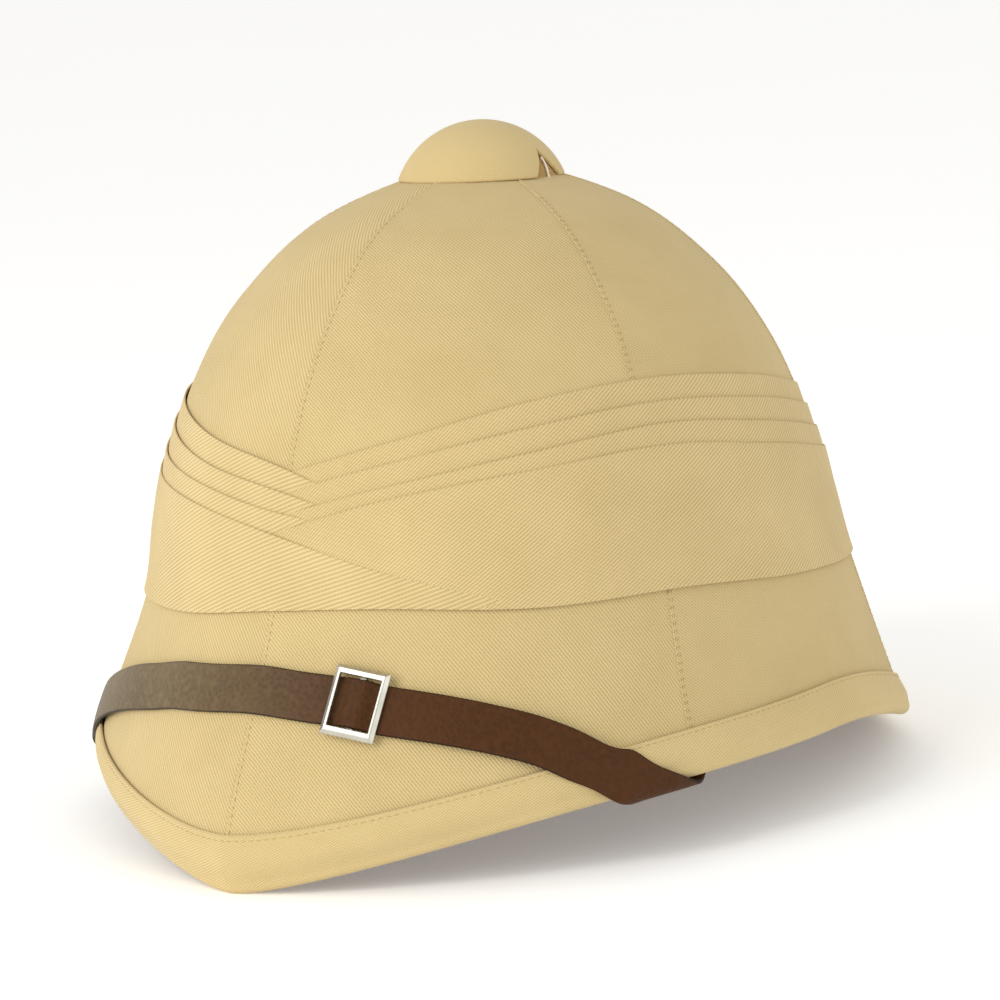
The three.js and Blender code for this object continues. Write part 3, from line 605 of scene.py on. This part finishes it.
# %% Binding
BINDING_COLUMNS, BINDING_FACE_ROWS, BEAD_ROWS = 360, 22, 14
BINDING_WIDTH, BINDING_ROLL, BINDING_WAVE = 22, 0.5, 0.06
BINDING_STITCH, BINDING_DRAW, BINDING_PUFF, BINDING_BELLY = 1.9, 0.2, 0.08, 0.7
RIM_CLEARANCE, TAPE_ON_FLOOR = 0.6, 0.4
PUFF_PLACE, PUFF_WIDTH, DRAW_WIDTH, FACE_CROWDING = 0.9, 0.9, 0.5, 1.35
binding_turns = np.linspace(0, 2 * math.pi, BINDING_COLUMNS, endpoint=False)
face_share = np.linspace(0, 1, BINDING_FACE_ROWS) ** FACE_CROWDING
face_downs = BINDING_TOP + (BRIM_EDGE - BINDING_TOP) * face_share
face_run = (face_downs - BINDING_TOP) / (BRIM_EDGE - BINDING_TOP) * BINDING_WIDTH
bead_angles = np.linspace(math.pi / 2, -math.pi / 2, BEAD_ROWS + 2)[1:-1]


def binding_faces(turn):
    """Outer and inner skin of the tape, from its upper edge outside, under the rim, to that inside."""
    wave = BINDING_WAVE * ripple(31, turn * 40)
    edge = rolled_edge(face_run, BINDING_ROLL, 0.02)
    puff = BINDING_PUFF * bell(face_run - PUFF_PLACE, PUFF_WIDTH)
    drawn = BINDING_DRAW * bell(face_run - BINDING_STITCH, DRAW_WIDTH)
    belly = BINDING_BELLY * np.sin(math.pi * face_share) ** 1.2
    middle = BINDING_OUT - BINDING_THICK / 2 + puff - drawn + belly + wave
    half = BINDING_THICK / 2 * edge
    outside = [wall_skin(turn, face_downs, middle + half * s) for s in (1, -1)]
    thin = RIM_RADIUS - BINDING_THICK
    bead = [rim_point(turn, bead_angles, reach) for reach in (RIM_RADIUS, thin)]
    inside_middle = BINDING_IN + BINDING_THICK / 2
    inside = [wall_skin(turn, face_downs, inside_middle - half * s)[::-1] for s in (1, -1)]
    _, onwards = wall_frame(turn, BRIM_EDGE)
    bead[1] = bead[1] + onwards * RIM_CLEARANCE * np.cos(bead_angles)[:, None]
    outer, inner = (np.concatenate([outside[n], bead[n], inside[n]]) for n in (0, 1))
    outer[:, 2] = np.maximum(outer[:, 2], 0)
    inner[:, 2] = np.maximum(inner[:, 2], TAPE_ON_FLOOR)
    return outer, inner


binding_skins = [binding_faces(turn) for turn in binding_turns]
binding_outer = np.array([skin[0] for skin in binding_skins])
binding_inner = np.array([skin[1] for skin in binding_skins])
ring_again = np.concatenate([binding_outer, binding_outer[:1]])
tape_along = steps_between(ring_again, 0)[:, :1] + 0 * ring_again[..., 0]
tape_across = steps_between(ring_again, 1)
binding_flat = np.stack([tape_along, -tape_across], -1) * MM
binding = sheet_object("brim_binding_tape", binding_outer, binding_inner, binding_flat,
                       binding_twill, closed=True)
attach(binding, "root")
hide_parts("brim_binding")

# %% [markdown]
# ## Scarf
# The scarf is one long cloth laid in four pleats on each side. Every pleat is folded double along
# its upper edge and laps over the one above, and over the peak the two sides cross in turn. Cloth
# simulation would lose the crisp folds, so each pleat is a strip laid by rule: it starts full at
# its fold, thins as it goes under its neighbours, and is pressed down wherever another crosses it.

# %% Pleats
PLACES = (-20, 0, 20, 45, 70, 95, 130, 180)
PLEATS = [
    ("left_1", 1, (114, 122.3, 131.2, 140, 142.2, 137, 124, 116)),
    ("right_1", -1, (110.3, 123.3, 130.1, 137, 139.5, 134, 122, 116)),
    ("left_2", 1, (101, 115.8, 124.8, 132.5, 135, 129.5, 116.5, 108.5)),
    ("right_2", -1, (106.9, 116.5, 122.4, 128.8, 131.5, 126, 114, 108.5)),
    ("left_3", 1, (98.5, 109.4, 118, 125.2, 128.3, 121.8, 108.5, 101.5)),
    ("right_3", -1, (105, 110.4, 116.2, 121, 124, 118.5, 107, 101.5)),
    ("left_4", 1, (92.5, 104.5, 114.1, 120, 121.8, 114.5, 101.5, 95)),
    ("right_4", -1, (93.2, 103.9, 110.2, 114.5, 117.5, 111.5, 100.5, 95)),
]
HEMS = {1: (78, 81.5, 82.6, 79.6, 78.6, 72.8, 66, 62), -1: (82.6, 81.5, 78, 76.5, 76, 72.8, 66, 62)}
PLEAT_TUCK = 4.0
PLEAT_STEP = 0.75
BACK_GAP = 0.08


def edge_height(heights, angle):
    return smooth_curve(PLACES, heights, angle, None, 0.0)


def hem_height(hand, angle):
    """The scarf's lower edge, by the angle on one side, past the front too."""
    own, other = edge_height(HEMS[hand], np.abs(angle)), edge_height(HEMS[-hand], np.abs(angle))
    return np.where(angle < 0, other, own)


def under_by(order, later, angle):
    """Height of a later pleat's fold at an angle on this pleat's own side."""
    _, hand, heights = PLEATS[later]
    return edge_height(heights, angle if hand == PLEATS[order][1] else -angle)


def covering(order):
    return range(order + 1, min(order + 3, len(PLEATS)))


def starts_at(order):
    """The angle where a pleat is wholly hidden under the ones that cross it."""
    angles = np.arange(0, -60, -0.05)
    top = edge_height(PLEATS[order][2], angles)
    floors = [hem_height(PLEATS[order][1], angles) + 0.3]
    floors += [under_by(order, later, angles) - PLEAT_TUCK for later in covering(order)]
    hidden = np.nonzero(top < np.max(floors, 0) + 0.6)[0]
    return float(angles[hidden[0]])


def down_at_height(turn, height):
    """The place down the wall at a height, above the brim."""
    low = np.full(np.broadcast(turn, height).shape, VENT_DOWN)
    high = np.full_like(low, BINDING_TOP)
    for _ in range(30):
        middle = (low + high) / 2
        above = wall_point(turn, middle)[..., 2] > height
        low, high = np.where(above, middle, low), np.where(above, high, middle)
    return low


for order, (name, _, _) in enumerate(PLEATS):
    print(name, "starts at", round(starts_at(order), 1), "degrees")

# %% Pleats as cloth
PLEAT_LIFTS = (0.8, 1.1, 1.4, 1.7, 2.0, 2.2, 2.4, 2.6)
PLEAT_SLOPE, PLEAT_LEAST, FACE_SLOPE, FACE_FALL = 0.035, 0.4, 0.03, 0.35
HEM_LIFT, HEM_REACH, PLEAT_RIPPLE = 1.25, 22, 0.05
PLEAT_CLOTH, PLEAT_THIN, PLEAT_SINGLE = 0.62, 0.035, 0.3
PRESS_GAP, NEAR_RISE, NEAR_RUN, FREE_RISE, FREE_RUN = 0.05, 0.12, 1.2, 0.9, 4
RIGHT_BIAS = math.radians(-8)
EDGE_ROWS = 6
pleat_edge = 1 - np.cos((np.arange(EDGE_ROWS) + 0.5) / EDGE_ROWS * math.pi / 2)


def pressed(beneath, top_lift):
    """The most that a pleat may stand up where another lies over it by some distance."""
    under = top_lift - PLEAT_CLOTH - PRESS_GAP - (PLEAT_SLOPE - PLEAT_THIN) * np.maximum(beneath, 0)
    near = NEAR_RISE * smooth_step(-beneath / NEAR_RUN)
    return under + near + FREE_RISE * smooth_step((-NEAR_RUN - beneath) / FREE_RUN)


def add_pleat(order):
    name, hand, heights = PLEATS[order]
    last = order >= len(PLEATS) - 2
    end = 180 - BACK_GAP
    angle = np.concatenate([np.arange(starts_at(order), end, PLEAT_STEP), [end]])[:, None]
    turn = np.radians(hand * angle)
    top = edge_height(heights, angle)
    hem = hem_height(hand, angle)
    covers = [under_by(order, later, angle) for later in covering(order)]
    low = np.max([hem] + [cover - PLEAT_TUCK for cover in covers], 0)
    height = np.maximum(top - low, 0.5)
    radius = np.minimum(PLEAT_CLOTH / 2, height * 0.3)
    body_rows = 26 if last else 12
    body = np.linspace(0, 1, body_rows + 1)[None, 1:]
    below = np.concatenate([radius * pleat_edge[None], radius + (height - 2 * radius) * body,
                            height - radius * pleat_edge[None, ::-1]], 1)
    z = top - below
    down = down_at_height(turn, z)
    fall = np.maximum(PLEAT_LIFTS[order] - PLEAT_SLOPE * below, PLEAT_LEAST)
    if last:
        fall = PLEAT_LIFTS[order] - np.minimum(FACE_SLOPE * below, FACE_FALL)
        fall = fall + (HEM_LIFT - fall) * smooth_step(1 - (z - hem) / HEM_REACH)
    lift = fall
    for later, cover in zip(covering(order), covers):
        lift = np.minimum(lift, pressed(cover - z, PLEAT_LIFTS[later]))
    lift = lift + PLEAT_RIPPLE * ripple(order + 40, np.radians(angle) * 12, below / 9)
    thick = np.maximum(PLEAT_CLOTH - PLEAT_THIN * below, PLEAT_CLOTH if last else PLEAT_SINGLE)
    inner_lift = np.maximum(lift - thick, 0.06)
    middle, half = (lift + inner_lift) / 2, (lift - inner_lift) / 2
    from_edge = np.minimum(below, height - below)
    round_off = rolled_edge(from_edge, radius)
    outer = wall_skin(turn, down, middle + half * round_off)
    inner = wall_skin(turn, down, middle - half * round_off)
    skin = wall_point(turn, down)
    along = steps_between(skin[:, :1], 0) * hand + 0 * below
    bias = RIGHT_BIAS if hand < 0 else 0.0
    flat = np.stack([along * math.cos(bias) + below * math.sin(bias),
                     along * -math.sin(bias) - below * math.cos(bias)], -1) * MM
    pleat = sheet_object("scarf_pleat_" + name, outer, inner, flat, scarf_twill)
    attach(pleat, "root")
    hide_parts("scarf_fold_" + name)


for order in range(len(PLEATS)):
    add_pleat(order)

# %% [markdown]
# ## Button
# The vent in the crown is closed by a low domed cap covered in the same cloth. Its hem stands just
# clear of the crown, and an inverted V is cut in it on the wearer's left, with an inner layer behind
# it whose golden brown is painted shade and painted bounce light. The cap is a grid of rings whose
# last ring is lifted along the cut, which keeps the cut crisp without a boolean.

# %% Button cap
BUTTON_RADIUS, BUTTON_RISE, BUTTON_WALL, BUTTON_SEAT = 27.5, 18.8, 1.3, 200.95
BUTTON_TILT, NOTCH_TURN, NOTCH_WIDTH, NOTCH_HEIGHT = math.radians(2.35), math.radians(91), 14.0, 9.0
BUTTON_ROUND, BUTTON_RINGS, BUTTON_ROLL = 240, 40, 0.6
FIRST_RING, RING_CROWDING, NOTCH_CROWDING = 0.012, 1.6, 0.75
CROWN_CENTRE = SECTION["centre"][0]
button_sphere = (BUTTON_RADIUS**2 + BUTTON_RISE**2) / (2 * BUTTON_RISE)
button_fall = math.asin(BUTTON_RADIUS / button_sphere)


def button_place(local):
    """The cap's own place, leaning back a little on the crown."""
    lean = Matrix.Rotation(-BUTTON_TILT, 3, "X")
    return np.asarray(local) @ np.array(lean).T + (0, CROWN_CENTRE, BUTTON_SEAT)


notch_span = NOTCH_WIDTH / 2 / BUTTON_RADIUS
spread = np.linspace(0, 2 * math.pi, BUTTON_ROUND, endpoint=False)
button_turns = NOTCH_TURN + spread - NOTCH_CROWDING * np.sin(spread)
off_notch = np.abs((button_turns - NOTCH_TURN + math.pi) % (2 * math.pi) - math.pi) / notch_span
hem_rise = NOTCH_HEIGHT * np.maximum(1 - off_notch, 0)
hem_fall = np.arccos(np.clip((hem_rise + button_sphere - BUTTON_RISE) / button_sphere, -1, 1))[:, None]
ring_share = (1 - (1 - np.linspace(FIRST_RING, 1, BUTTON_RINGS)) ** RING_CROWDING)[None]
fall = hem_fall * ring_share
hem_left = (hem_fall - fall) * button_sphere
hem_roll = rolled_edge(hem_left, BUTTON_ROLL, 0.03)


def dome(turns, fall, depth):
    """Points of the cap at a depth below its outside."""
    reach = button_sphere - depth
    local = np.stack([reach * np.sin(fall) * np.sin(turns), -reach * np.sin(fall) * np.cos(turns),
                      BUTTON_RISE - button_sphere + reach * np.cos(fall)], -1)
    return button_place(local)


weave_turn = math.radians(COVER_LEAN) - AZIMUTH
weave = np.array(Matrix.Rotation(weave_turn, 2))
cap_flat = np.stack([fall * np.sin(button_turns)[:, None], -fall * np.cos(button_turns)[:, None]], -1)
cap_flat = np.concatenate([cap_flat, cap_flat[:1]]) @ weave.T * button_sphere * MM
cap_faces = [dome(button_turns[:, None], fall, BUTTON_WALL / 2 * (1 - s * hem_roll)) for s in (1, -1)]
button = sheet_object("button_cap", *cap_faces, cap_flat, button_twill, closed=True)
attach(button, "root")
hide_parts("button")

LINING_DEPTH, LINING_WALL = 1.5, 0.9
# The lining's browns are painted shade and painted bounce light: a darker, warmer copy of the cloth for the
# shaded inside of the cap seen through the cut.
lining_painted_shade_twill = twill("lining_painted_shade_cotton", colour(205, 168, 104), colour(150, 112, 62), COVER_LEAN, 0.8)
lining_fall = button_fall * ring_share + 0 * hem_fall
lining_faces = [dome(button_turns[:, None], lining_fall, LINING_DEPTH + LINING_WALL * side) for side in (0, 1)]
lining = sheet_object("button_lining_painted_shade", *lining_faces, cap_flat, lining_painted_shade_twill, closed=True)
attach(lining, "root")
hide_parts("button")

# %% [markdown]
# ## Chin strap
# A strap of brown pebbled leather comes out from inside the brim at each temple, goes round the
# rim and lies across the peak. It is laid on the wall by its run: the distance of its middle from
# the rim's lowest line, up the outside, or up the inside where it is negative.

# %% Strap's path
STRAP_WIDTH, STRAP_THICK, STRAP_SLACK = 15.5, 1.6, 1.4
STRAP_BEND = RIM_RADIUS + GAP + STRAP_SLACK + STRAP_THICK / 2
STRAP_TURNS = (-88, -80, -72, -66, -61, -56, -51, -46, -36, -27, -16.5, 0,
               15, 25, 34, 44, 49, 54, 59, 64, 70, 78, 86)
STRAP_RUNS = (-52, -35, -17, -4, 6, 15.5, 24.5, 32, 45, 55, 64.5, 70,
              64.5, 55, 45, 32, 24.2, 14.8, 4, -7, -20.5, -38, -54)
STRAP_INSIDE_GAP, STRAP_ON_RIM, STRAP_ON_WALL, STRAP_SLACK_END = 0.9, 22, 56, 18
BUCKLE_TURN, HUMP, HUMP_FLAT, HUMP_SPAN = 19.3, 1.6, 0.8, 2.8


def strap_run(degrees):
    return smooth_curve(STRAP_TURNS, STRAP_RUNS, degrees)


def down_above_edge(turn, distance):
    stride = 2.0
    turn, left = np.broadcast_arrays(turn, distance)
    down, left = np.full(left.shape, BRIM_EDGE), left.copy()
    while left.max() > 0:
        pace = np.linalg.norm(wall_point(turn, down) - wall_point(turn, down - 1), axis=-1)
        down = down - np.clip(left, 0, stride) / pace
        left = left - stride
    return down


def wrap_point(turn, run, reach):
    """Point on a skin wrapped round the rim, at a reach from the middle of its wall."""
    turn, run, reach = np.broadcast_arrays(*(np.asarray(v, float) for v in (turn, run, reach)))
    quarter = math.pi / 2 * STRAP_BEND
    down = down_above_edge(turn, np.maximum(np.abs(run) - quarter, 0))
    on_wall = wall_skin(turn, down, RIM_MIDDLE + np.sign(run) * reach)
    return np.where((np.abs(run) < quarter)[..., None], rim_point(turn, run / STRAP_BEND, reach), on_wall)


def strap_reach(run):
    away = np.abs(run)
    inside = GAP + (STRAP_INSIDE_GAP - GAP) * smooth_step(away / STRAP_SLACK_END)
    gap = np.where(run > 0, GAP, inside)
    settled = smooth_step((away - STRAP_ON_RIM) / (STRAP_ON_WALL - STRAP_ON_RIM))
    slack = STRAP_SLACK * (1 - smooth_step(away / STRAP_SLACK_END))
    return (RIM_RADIUS + gap) * (1 - settled) + (gap - RIM_MIDDLE) * settled + slack


def dots(a, b):
    return (a * b).sum(-1)


RUN_STEP = 0.05


def strap_frame(degrees):
    turn, run = np.radians(degrees), strap_run(degrees)
    per_turn = wrap_point(turn + TURN_STEP, run, STRAP_BEND) - wrap_point(turn - TURN_STEP, run, STRAP_BEND)
    per_run = wrap_point(turn, run + RUN_STEP, STRAP_BEND) - wrap_point(turn, run - RUN_STEP, STRAP_BEND)
    per_turn, per_run = per_turn / (2 * TURN_STEP), per_run / (2 * RUN_STEP)
    slope = (strap_run(degrees + RUN_STEP) - strap_run(degrees - RUN_STEP)) / np.radians(2 * RUN_STEP)
    along = unit(per_turn + per_run * slope[..., None])
    across = np.cross(unit(np.cross(per_turn, per_run)), along)
    return turn, run, per_turn, per_run, across


def strap_point(degrees, aside, lift):
    """Point of the strap a distance to one side of its middle, lifted off its underside."""
    turn, run, per_turn, per_run, across = strap_frame(degrees)
    mixed = dots(per_turn, per_run)
    turn_sq, run_sq = dots(per_turn, per_turn), dots(per_run, per_run)
    spread = turn_sq * run_sq - mixed**2
    on_turn = (dots(across, per_turn) * run_sq - dots(across, per_run) * mixed) / spread
    on_run = (dots(across, per_run) * turn_sq - dots(across, per_turn) * mixed) / spread
    side_run = run + aside * on_run
    return wrap_point(turn + aside * on_turn, side_run, strap_reach(side_run) + lift)


print("strap's run at the peak, mm:", float(strap_run(0)))

# %% [markdown]
# ### Leather
# Harness leather has a pebbled grain, a satin finish and darker dye along the cut edges. Towards one
# end it is painted greyer and paler: partly a painted sheen, partly the leather's own tone. Voronoi
# cells give the pebbles, noise the wear.

# %% Leather material
leather, leather_place, leather_shader = new_material("strap_leather", Specular_IOR_Level=0.12,
                                                      Coat_Roughness=0.42)
leather_flat, strap_along, strap_across = cloth_axes(leather_place)
pebbles = leather_flat.make("ShaderNodeTexVoronoi", {"feature": "SMOOTH_F1"},
                            {"Vector": leather_flat, "Scale": 680.0, "Smoothness": 0.5})
rubbed = noise(leather_flat, 90.0, Detail=5.0)
blotch = noise(leather_flat, 28.0, Detail=3.0)
edge_distance = STRAP_WIDTH / 2 * MM - strap_across.maths("ABSOLUTE")
edge_dark = (1 - edge_distance / (0.55 * MM)).clamped()
# Painted sheen: on one side of the peak the brown is mixed towards a greyer, paler brown, partly as a painted
# sheen and partly as the leather's own tone.
sheen_and_tone_side = (0.5 - strap_along * 14).clamped()
brown = mix_colours(sheen_and_tone_side, colour(80, 48, 22), colour(117, 100, 70))
brown = mix_colours(blotch, mix_colours(pebbles, colour(48, 30, 16), brown), brown)
feed(leather_shader, "Base Color", mix_colours(edge_dark, brown, colour(30, 24, 20)))
feed(leather_shader, "Roughness", rubbed * 0.25 + 0.4)
feed(leather_shader, "Coat Weight", sheen_and_tone_side * rubbed * 0.5)
feed(leather_shader, "Normal", bumped(pebbles * 0.7 + rubbed * 0.3, 0.6, 0.5 * MM))
print("leather ready")

# %% Strap
STRAP_END, STRAP_STEP, STRAP_ACROSS = 86, 0.4, 9
STRAP_ROLL, STRAP_EDGE_BAND = 0.5, 1.8
strap_degrees = np.arange(-STRAP_END, STRAP_END + STRAP_STEP / 2, STRAP_STEP)[:, None]
strap_edge = np.array([0.02, 0.15, 0.45, 0.9])
half_width = STRAP_WIDTH / 2
strap_aside = np.concatenate([-half_width + strap_edge,
                              np.linspace(-half_width + STRAP_EDGE_BAND, half_width - STRAP_EDGE_BAND,
                                          STRAP_ACROSS),
                              half_width - strap_edge[::-1]])[None]
hump_rise = (np.abs(strap_degrees - BUCKLE_TURN) - HUMP_FLAT) / (HUMP_SPAN - HUMP_FLAT)
strap_hump = HUMP * (1 - smooth_step(hump_rise))
edge_left = half_width - np.abs(strap_aside)
strap_half = STRAP_THICK / 2 * rolled_edge(edge_left, STRAP_ROLL, 0.1)
ROUGH_CUT = 0.1
rough_cut = np.random.default_rng(78).normal(0, ROUGH_CUT, strap_degrees.shape)
rough_cut = rough_cut + ROUGH_CUT * ripple(77, strap_degrees * 2.3)
nicks = 1 - np.abs(rough_cut) / half_width * np.where(strap_aside > 0, 1.0, 0.35)
EASE_REACH, EASE_WIDTH = 9, 3.5
EASE = bell(np.arange(-EASE_REACH, EASE_REACH + 1), EASE_WIDTH)


def eased(points):
    """The strap bends no more sharply than its thickness lets it: an even blend along its length."""
    padded = np.concatenate([points[:1]] * EASE_REACH + [points] + [points[-1:]] * EASE_REACH)
    return sum(padded[n:n + len(points)] * w for n, w in enumerate(EASE / EASE.sum()))


everywhere = strap_degrees + 0 * strap_aside
strap_faces = [eased(strap_point(everywhere, strap_aside * nicks, STRAP_THICK / 2 + strap_half * s))
               for s in (1, -1)]
strap_out = unit(strap_faces[0] - strap_faces[1])
strap_faces = [face + strap_out * strap_hump[..., None] for face in strap_faces]
strap_line = steps_between(strap_faces[0][:, strap_aside.shape[1] // 2], 0)
from_front = strap_line - np.interp(0, strap_degrees[:, 0], strap_line)
strap_flat = np.stack(np.broadcast_arrays(from_front[:, None], strap_aside), -1) * MM
strap = sheet_object("leather_chin_strap", *strap_faces, strap_flat, leather)
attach(strap, "root")
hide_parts("chin_strap")

# %% [markdown]
# ## Buckle
# The strap is drawn through a cast slide with a mitred bevel, plated and polished. The solid is
# already right, so a copy is cleaned into flat faces and given softened edges, as plating leaves.

# %% Buckle
nickel, nickel_place, nickel_shader = new_material("polished_nickel", Metallic=1.0)
brushed = nickel_place.make("ShaderNodeMapping", None, {"Vector": nickel_place, "Scale": (900, 900, 260)})
scratches = noise(brushed, 1.0, Detail=4.0)
tarnish = noise(nickel_place, 240.0, Detail=3.0)
feed(nickel_shader, "Base Color", mix_colours(tarnish, colour(178, 176, 164), colour(214, 212, 203)))
feed(nickel_shader, "Roughness", scratches * 0.16 + 0.26)
feed(nickel_shader, "Normal", bumped(scratches, 0.12, 0.05 * MM))

SOFT_EDGE = 0.2 * MM
buckle_build = bmesh.new()
buckle_build.from_mesh(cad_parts["buckle"].data)
bmesh.ops.remove_doubles(buckle_build, verts=buckle_build.verts, dist=1e-6)
bmesh.ops.dissolve_limit(buckle_build, angle_limit=math.radians(1), verts=buckle_build.verts,
                         edges=buckle_build.edges)
buckle_mesh = bpy.data.meshes.new("slide_buckle")
buckle_build.to_mesh(buckle_mesh)
buckle_build.free()
buckle_mesh.materials.clear()
buckle_mesh.materials.append(nickel)
buckle = new_object("slide_buckle", buckle_mesh)
soften = buckle.modifiers.new("soft_edges", "BEVEL")
soften.width, soften.segments, soften.limit_method = SOFT_EDGE, 2, "ANGLE"
soften.angle_limit = math.radians(25)
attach(buckle, "root")
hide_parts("buckle")
print("buckle faces before softening:", len(buckle_mesh.polygons))

# %% [markdown]
# ## Stitches
# Tape and strap ends are sewn with a thread close to the cloth's colour. The seams' thread is
# painted darker, as painted shade for the dimples it sinks into. Each row of stitches is the same
# little tree of Geometry Nodes: a line on the cloth is cut into even steps and a short thread is set
# on each step, turned along the line.

# %% Thread
thread, thread_place, thread_shader = new_material("sewing_thread", Roughness=0.8, Specular_IOR_Level=0.25)
thread_noise = noise(thread_place, 900.0)
feed(thread_shader, "Base Color", mix_colours(thread_noise, colour(168, 143, 95), colour(206, 182, 130)))
feed(thread_shader, "Normal", bumped(thread_noise, 0.3, 0.1 * MM))
# The seams' thread is painted darker than the cloth: painted shade for the dimples the stitches sink into.
seam_thread_painted_shade, _, seam_thread_painted_shade_shader = new_material("seam_thread_painted_shade", Roughness=0.8, Specular_IOR_Level=0.25)
seam_thread_painted_shade_shader.inputs["Base Color"].default_value = colour(146, 120, 76)


def stitch_tree():
    tree = bpy.data.node_groups.new("row_of_stitches", "GeometryNodeTree")
    side = tree.interface
    side.new_socket("Geometry", in_out="INPUT", socket_type="NodeSocketGeometry")
    for name in ("Pitch", "Stitch length", "Thread radius"):
        side.new_socket(name, in_out="INPUT", socket_type="NodeSocketFloat")
    side.new_socket("Material", in_out="INPUT", socket_type="NodeSocketMaterial")
    side.new_socket("Geometry", in_out="OUTPUT", socket_type="NodeSocketGeometry")
    nodes = {}
    for name, kind in (("line", "NodeGroupInput"), ("curve", "GeometryNodeMeshToCurve"),
                       ("steps", "GeometryNodeResampleCurve"), ("tangent", "GeometryNodeInputTangent"),
                       ("turn", "FunctionNodeAlignRotationToVector"), ("ball", "GeometryNodeMeshUVSphere"),
                       ("size", "ShaderNodeCombineXYZ"), ("half", "ShaderNodeMath"),
                       ("thread", "GeometryNodeTransform"), ("stitches", "GeometryNodeInstanceOnPoints"),
                       ("real", "GeometryNodeRealizeInstances"), ("smooth", "GeometryNodeSetShadeSmooth"),
                       ("paint", "GeometryNodeSetMaterial"), ("row", "NodeGroupOutput")):
        nodes[name] = tree.nodes.new(kind)
    nodes["steps"].mode = "LENGTH"
    nodes["turn"].axis = "X"
    nodes["half"].operation = "MULTIPLY"
    nodes["half"].inputs[1].default_value = 0.5
    nodes["ball"].inputs["Segments"].default_value = 6
    nodes["ball"].inputs["Rings"].default_value = 4
    nodes["ball"].inputs["Radius"].default_value = 1.0
    for start, output, end, socket in (
            ("line", "Geometry", "curve", "Mesh"), ("curve", "Curve", "steps", "Curve"),
            ("line", "Pitch", "steps", "Length"), ("line", "Stitch length", "half", 0),
            ("half", 0, "size", "X"), ("line", "Thread radius", "size", "Y"),
            ("line", "Thread radius", "size", "Z"), ("ball", "Mesh", "thread", "Geometry"),
            ("size", "Vector", "thread", "Scale"), ("steps", "Curve", "stitches", "Points"),
            ("thread", "Geometry", "stitches", "Instance"), ("tangent", "Tangent", "turn", "Vector"),
            ("turn", "Rotation", "stitches", "Rotation"), ("stitches", "Instances", "real", "Geometry"),
            ("real", "Geometry", "smooth", "Geometry"), ("smooth", "Geometry", "paint", "Geometry"),
            ("line", "Material", "paint", "Material"), ("paint", "Geometry", "row", "Geometry")):
        tree.links.new(nodes[start].outputs[output], nodes[end].inputs[socket])
    return tree


stitches_tree = stitch_tree()


def add_stitches(name, lines, pitch, length, radius, material=thread):
    """Rows of stitches along lines of points in mm, as one plain mesh."""
    points, edges = [], []
    for line in lines:
        first = len(points)
        points.extend(place(line).tolist())
        edges.extend((first + n, first + n + 1) for n in range(len(line) - 1))
    source = bpy.data.meshes.new(name + "_lines")
    source.from_pydata(points, edges, [])
    carrier = new_object(name + "_lines", source)
    modifier = carrier.modifiers.new("stitches", "NODES")
    modifier.node_group = stitches_tree
    sizes = {"Pitch": pitch * MM, "Stitch length": length * MM, "Thread radius": radius * MM,
             "Material": material}
    for item in stitches_tree.interface.items_tree:
        if item.in_out == "INPUT" and item.name in sizes:
            modifier[item.identifier] = sizes[item.name]
    evaluated = carrier.evaluated_get(bpy.context.evaluated_depsgraph_get())
    mesh = bpy.data.meshes.new_from_object(evaluated)
    bpy.data.objects.remove(carrier)
    mesh.name = name
    stitches = new_object(name, mesh)
    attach(stitches, "root")
    print(f"{name}: {len(mesh.polygons)} faces")


# %% Rows of stitches
seam_downs = np.linspace(30, BINDING_TOP - 1, 120)


def seam_line(degrees, offset, lift):
    first = math.radians(degrees)
    turn = turns_along(first, first + 0.2, seam_downs, np.full((1, len(seam_downs)), offset))[0]
    return wall_skin(turn, seam_downs, lift)


seam_rows = [seam_line(start, LAP_WIDTH, 0.02) for _, start, _ in PANELS]
seam_rows += [seam_line(start, 0.5, 0.14) for _, start, _ in PANELS[1:]]
add_stitches("seam_stitches", seam_rows, pitch=2.5, length=1.7, radius=0.18,
             material=seam_thread_painted_shade)

tape_row = int(np.argmin(np.abs(face_run - BINDING_STITCH)))
tape_line = np.concatenate([binding_outer[:, tape_row], binding_outer[:1, tape_row]])
inside_line = np.concatenate([binding_outer[:, -1 - tape_row], binding_outer[:1, -1 - tape_row]])
add_stitches("binding_stitches", [tape_line, inside_line], pitch=2.6, length=1.8, radius=0.18)

STRAP_END_BOX = [(79, -5), (85, -5), (85, 5), (79, 5), (79, -5), (85, 5)]


def strap_box(hand):
    corners = [np.array(corner) for corner in STRAP_END_BOX]
    share = np.linspace(0, 1, 12)[:, None]
    line = np.concatenate([a + (b - a) * share for a, b in zip(corners, corners[1:])])
    return strap_point(line[:, 0] * hand, line[:, 1], STRAP_THICK + 0.05)


strap_boxes = [strap_box(hand) for hand in (1, -1)]
add_stitches("strap_stitches", strap_boxes, pitch=2.2, length=1.6, radius=0.25)

# Painted highlight: a pale strand laid down the middle of the button's cut from its tip, standing in for a lit
# strip of cloth there.
highlight_thread, _, highlight_thread_shader = new_material("highlight_thread", Roughness=0.8)
highlight_thread_shader.inputs["Base Color"].default_value = colour(232, 226, 212)
STRAND_DEPTH, STRAND_CURL = 0.9, 0.03
strand_share = np.linspace(0.3, 1, 8)
strand_fall = np.arccos((NOTCH_HEIGHT * (1 - strand_share) + button_sphere - BUTTON_RISE) / button_sphere)
highlight_strand_line = dome(NOTCH_TURN + STRAND_CURL * np.sin(strand_share * 4), strand_fall, STRAND_DEPTH)
add_stitches("loose_thread", [highlight_strand_line], pitch=0.4, length=1.2, radius=0.42,
             material=highlight_thread)
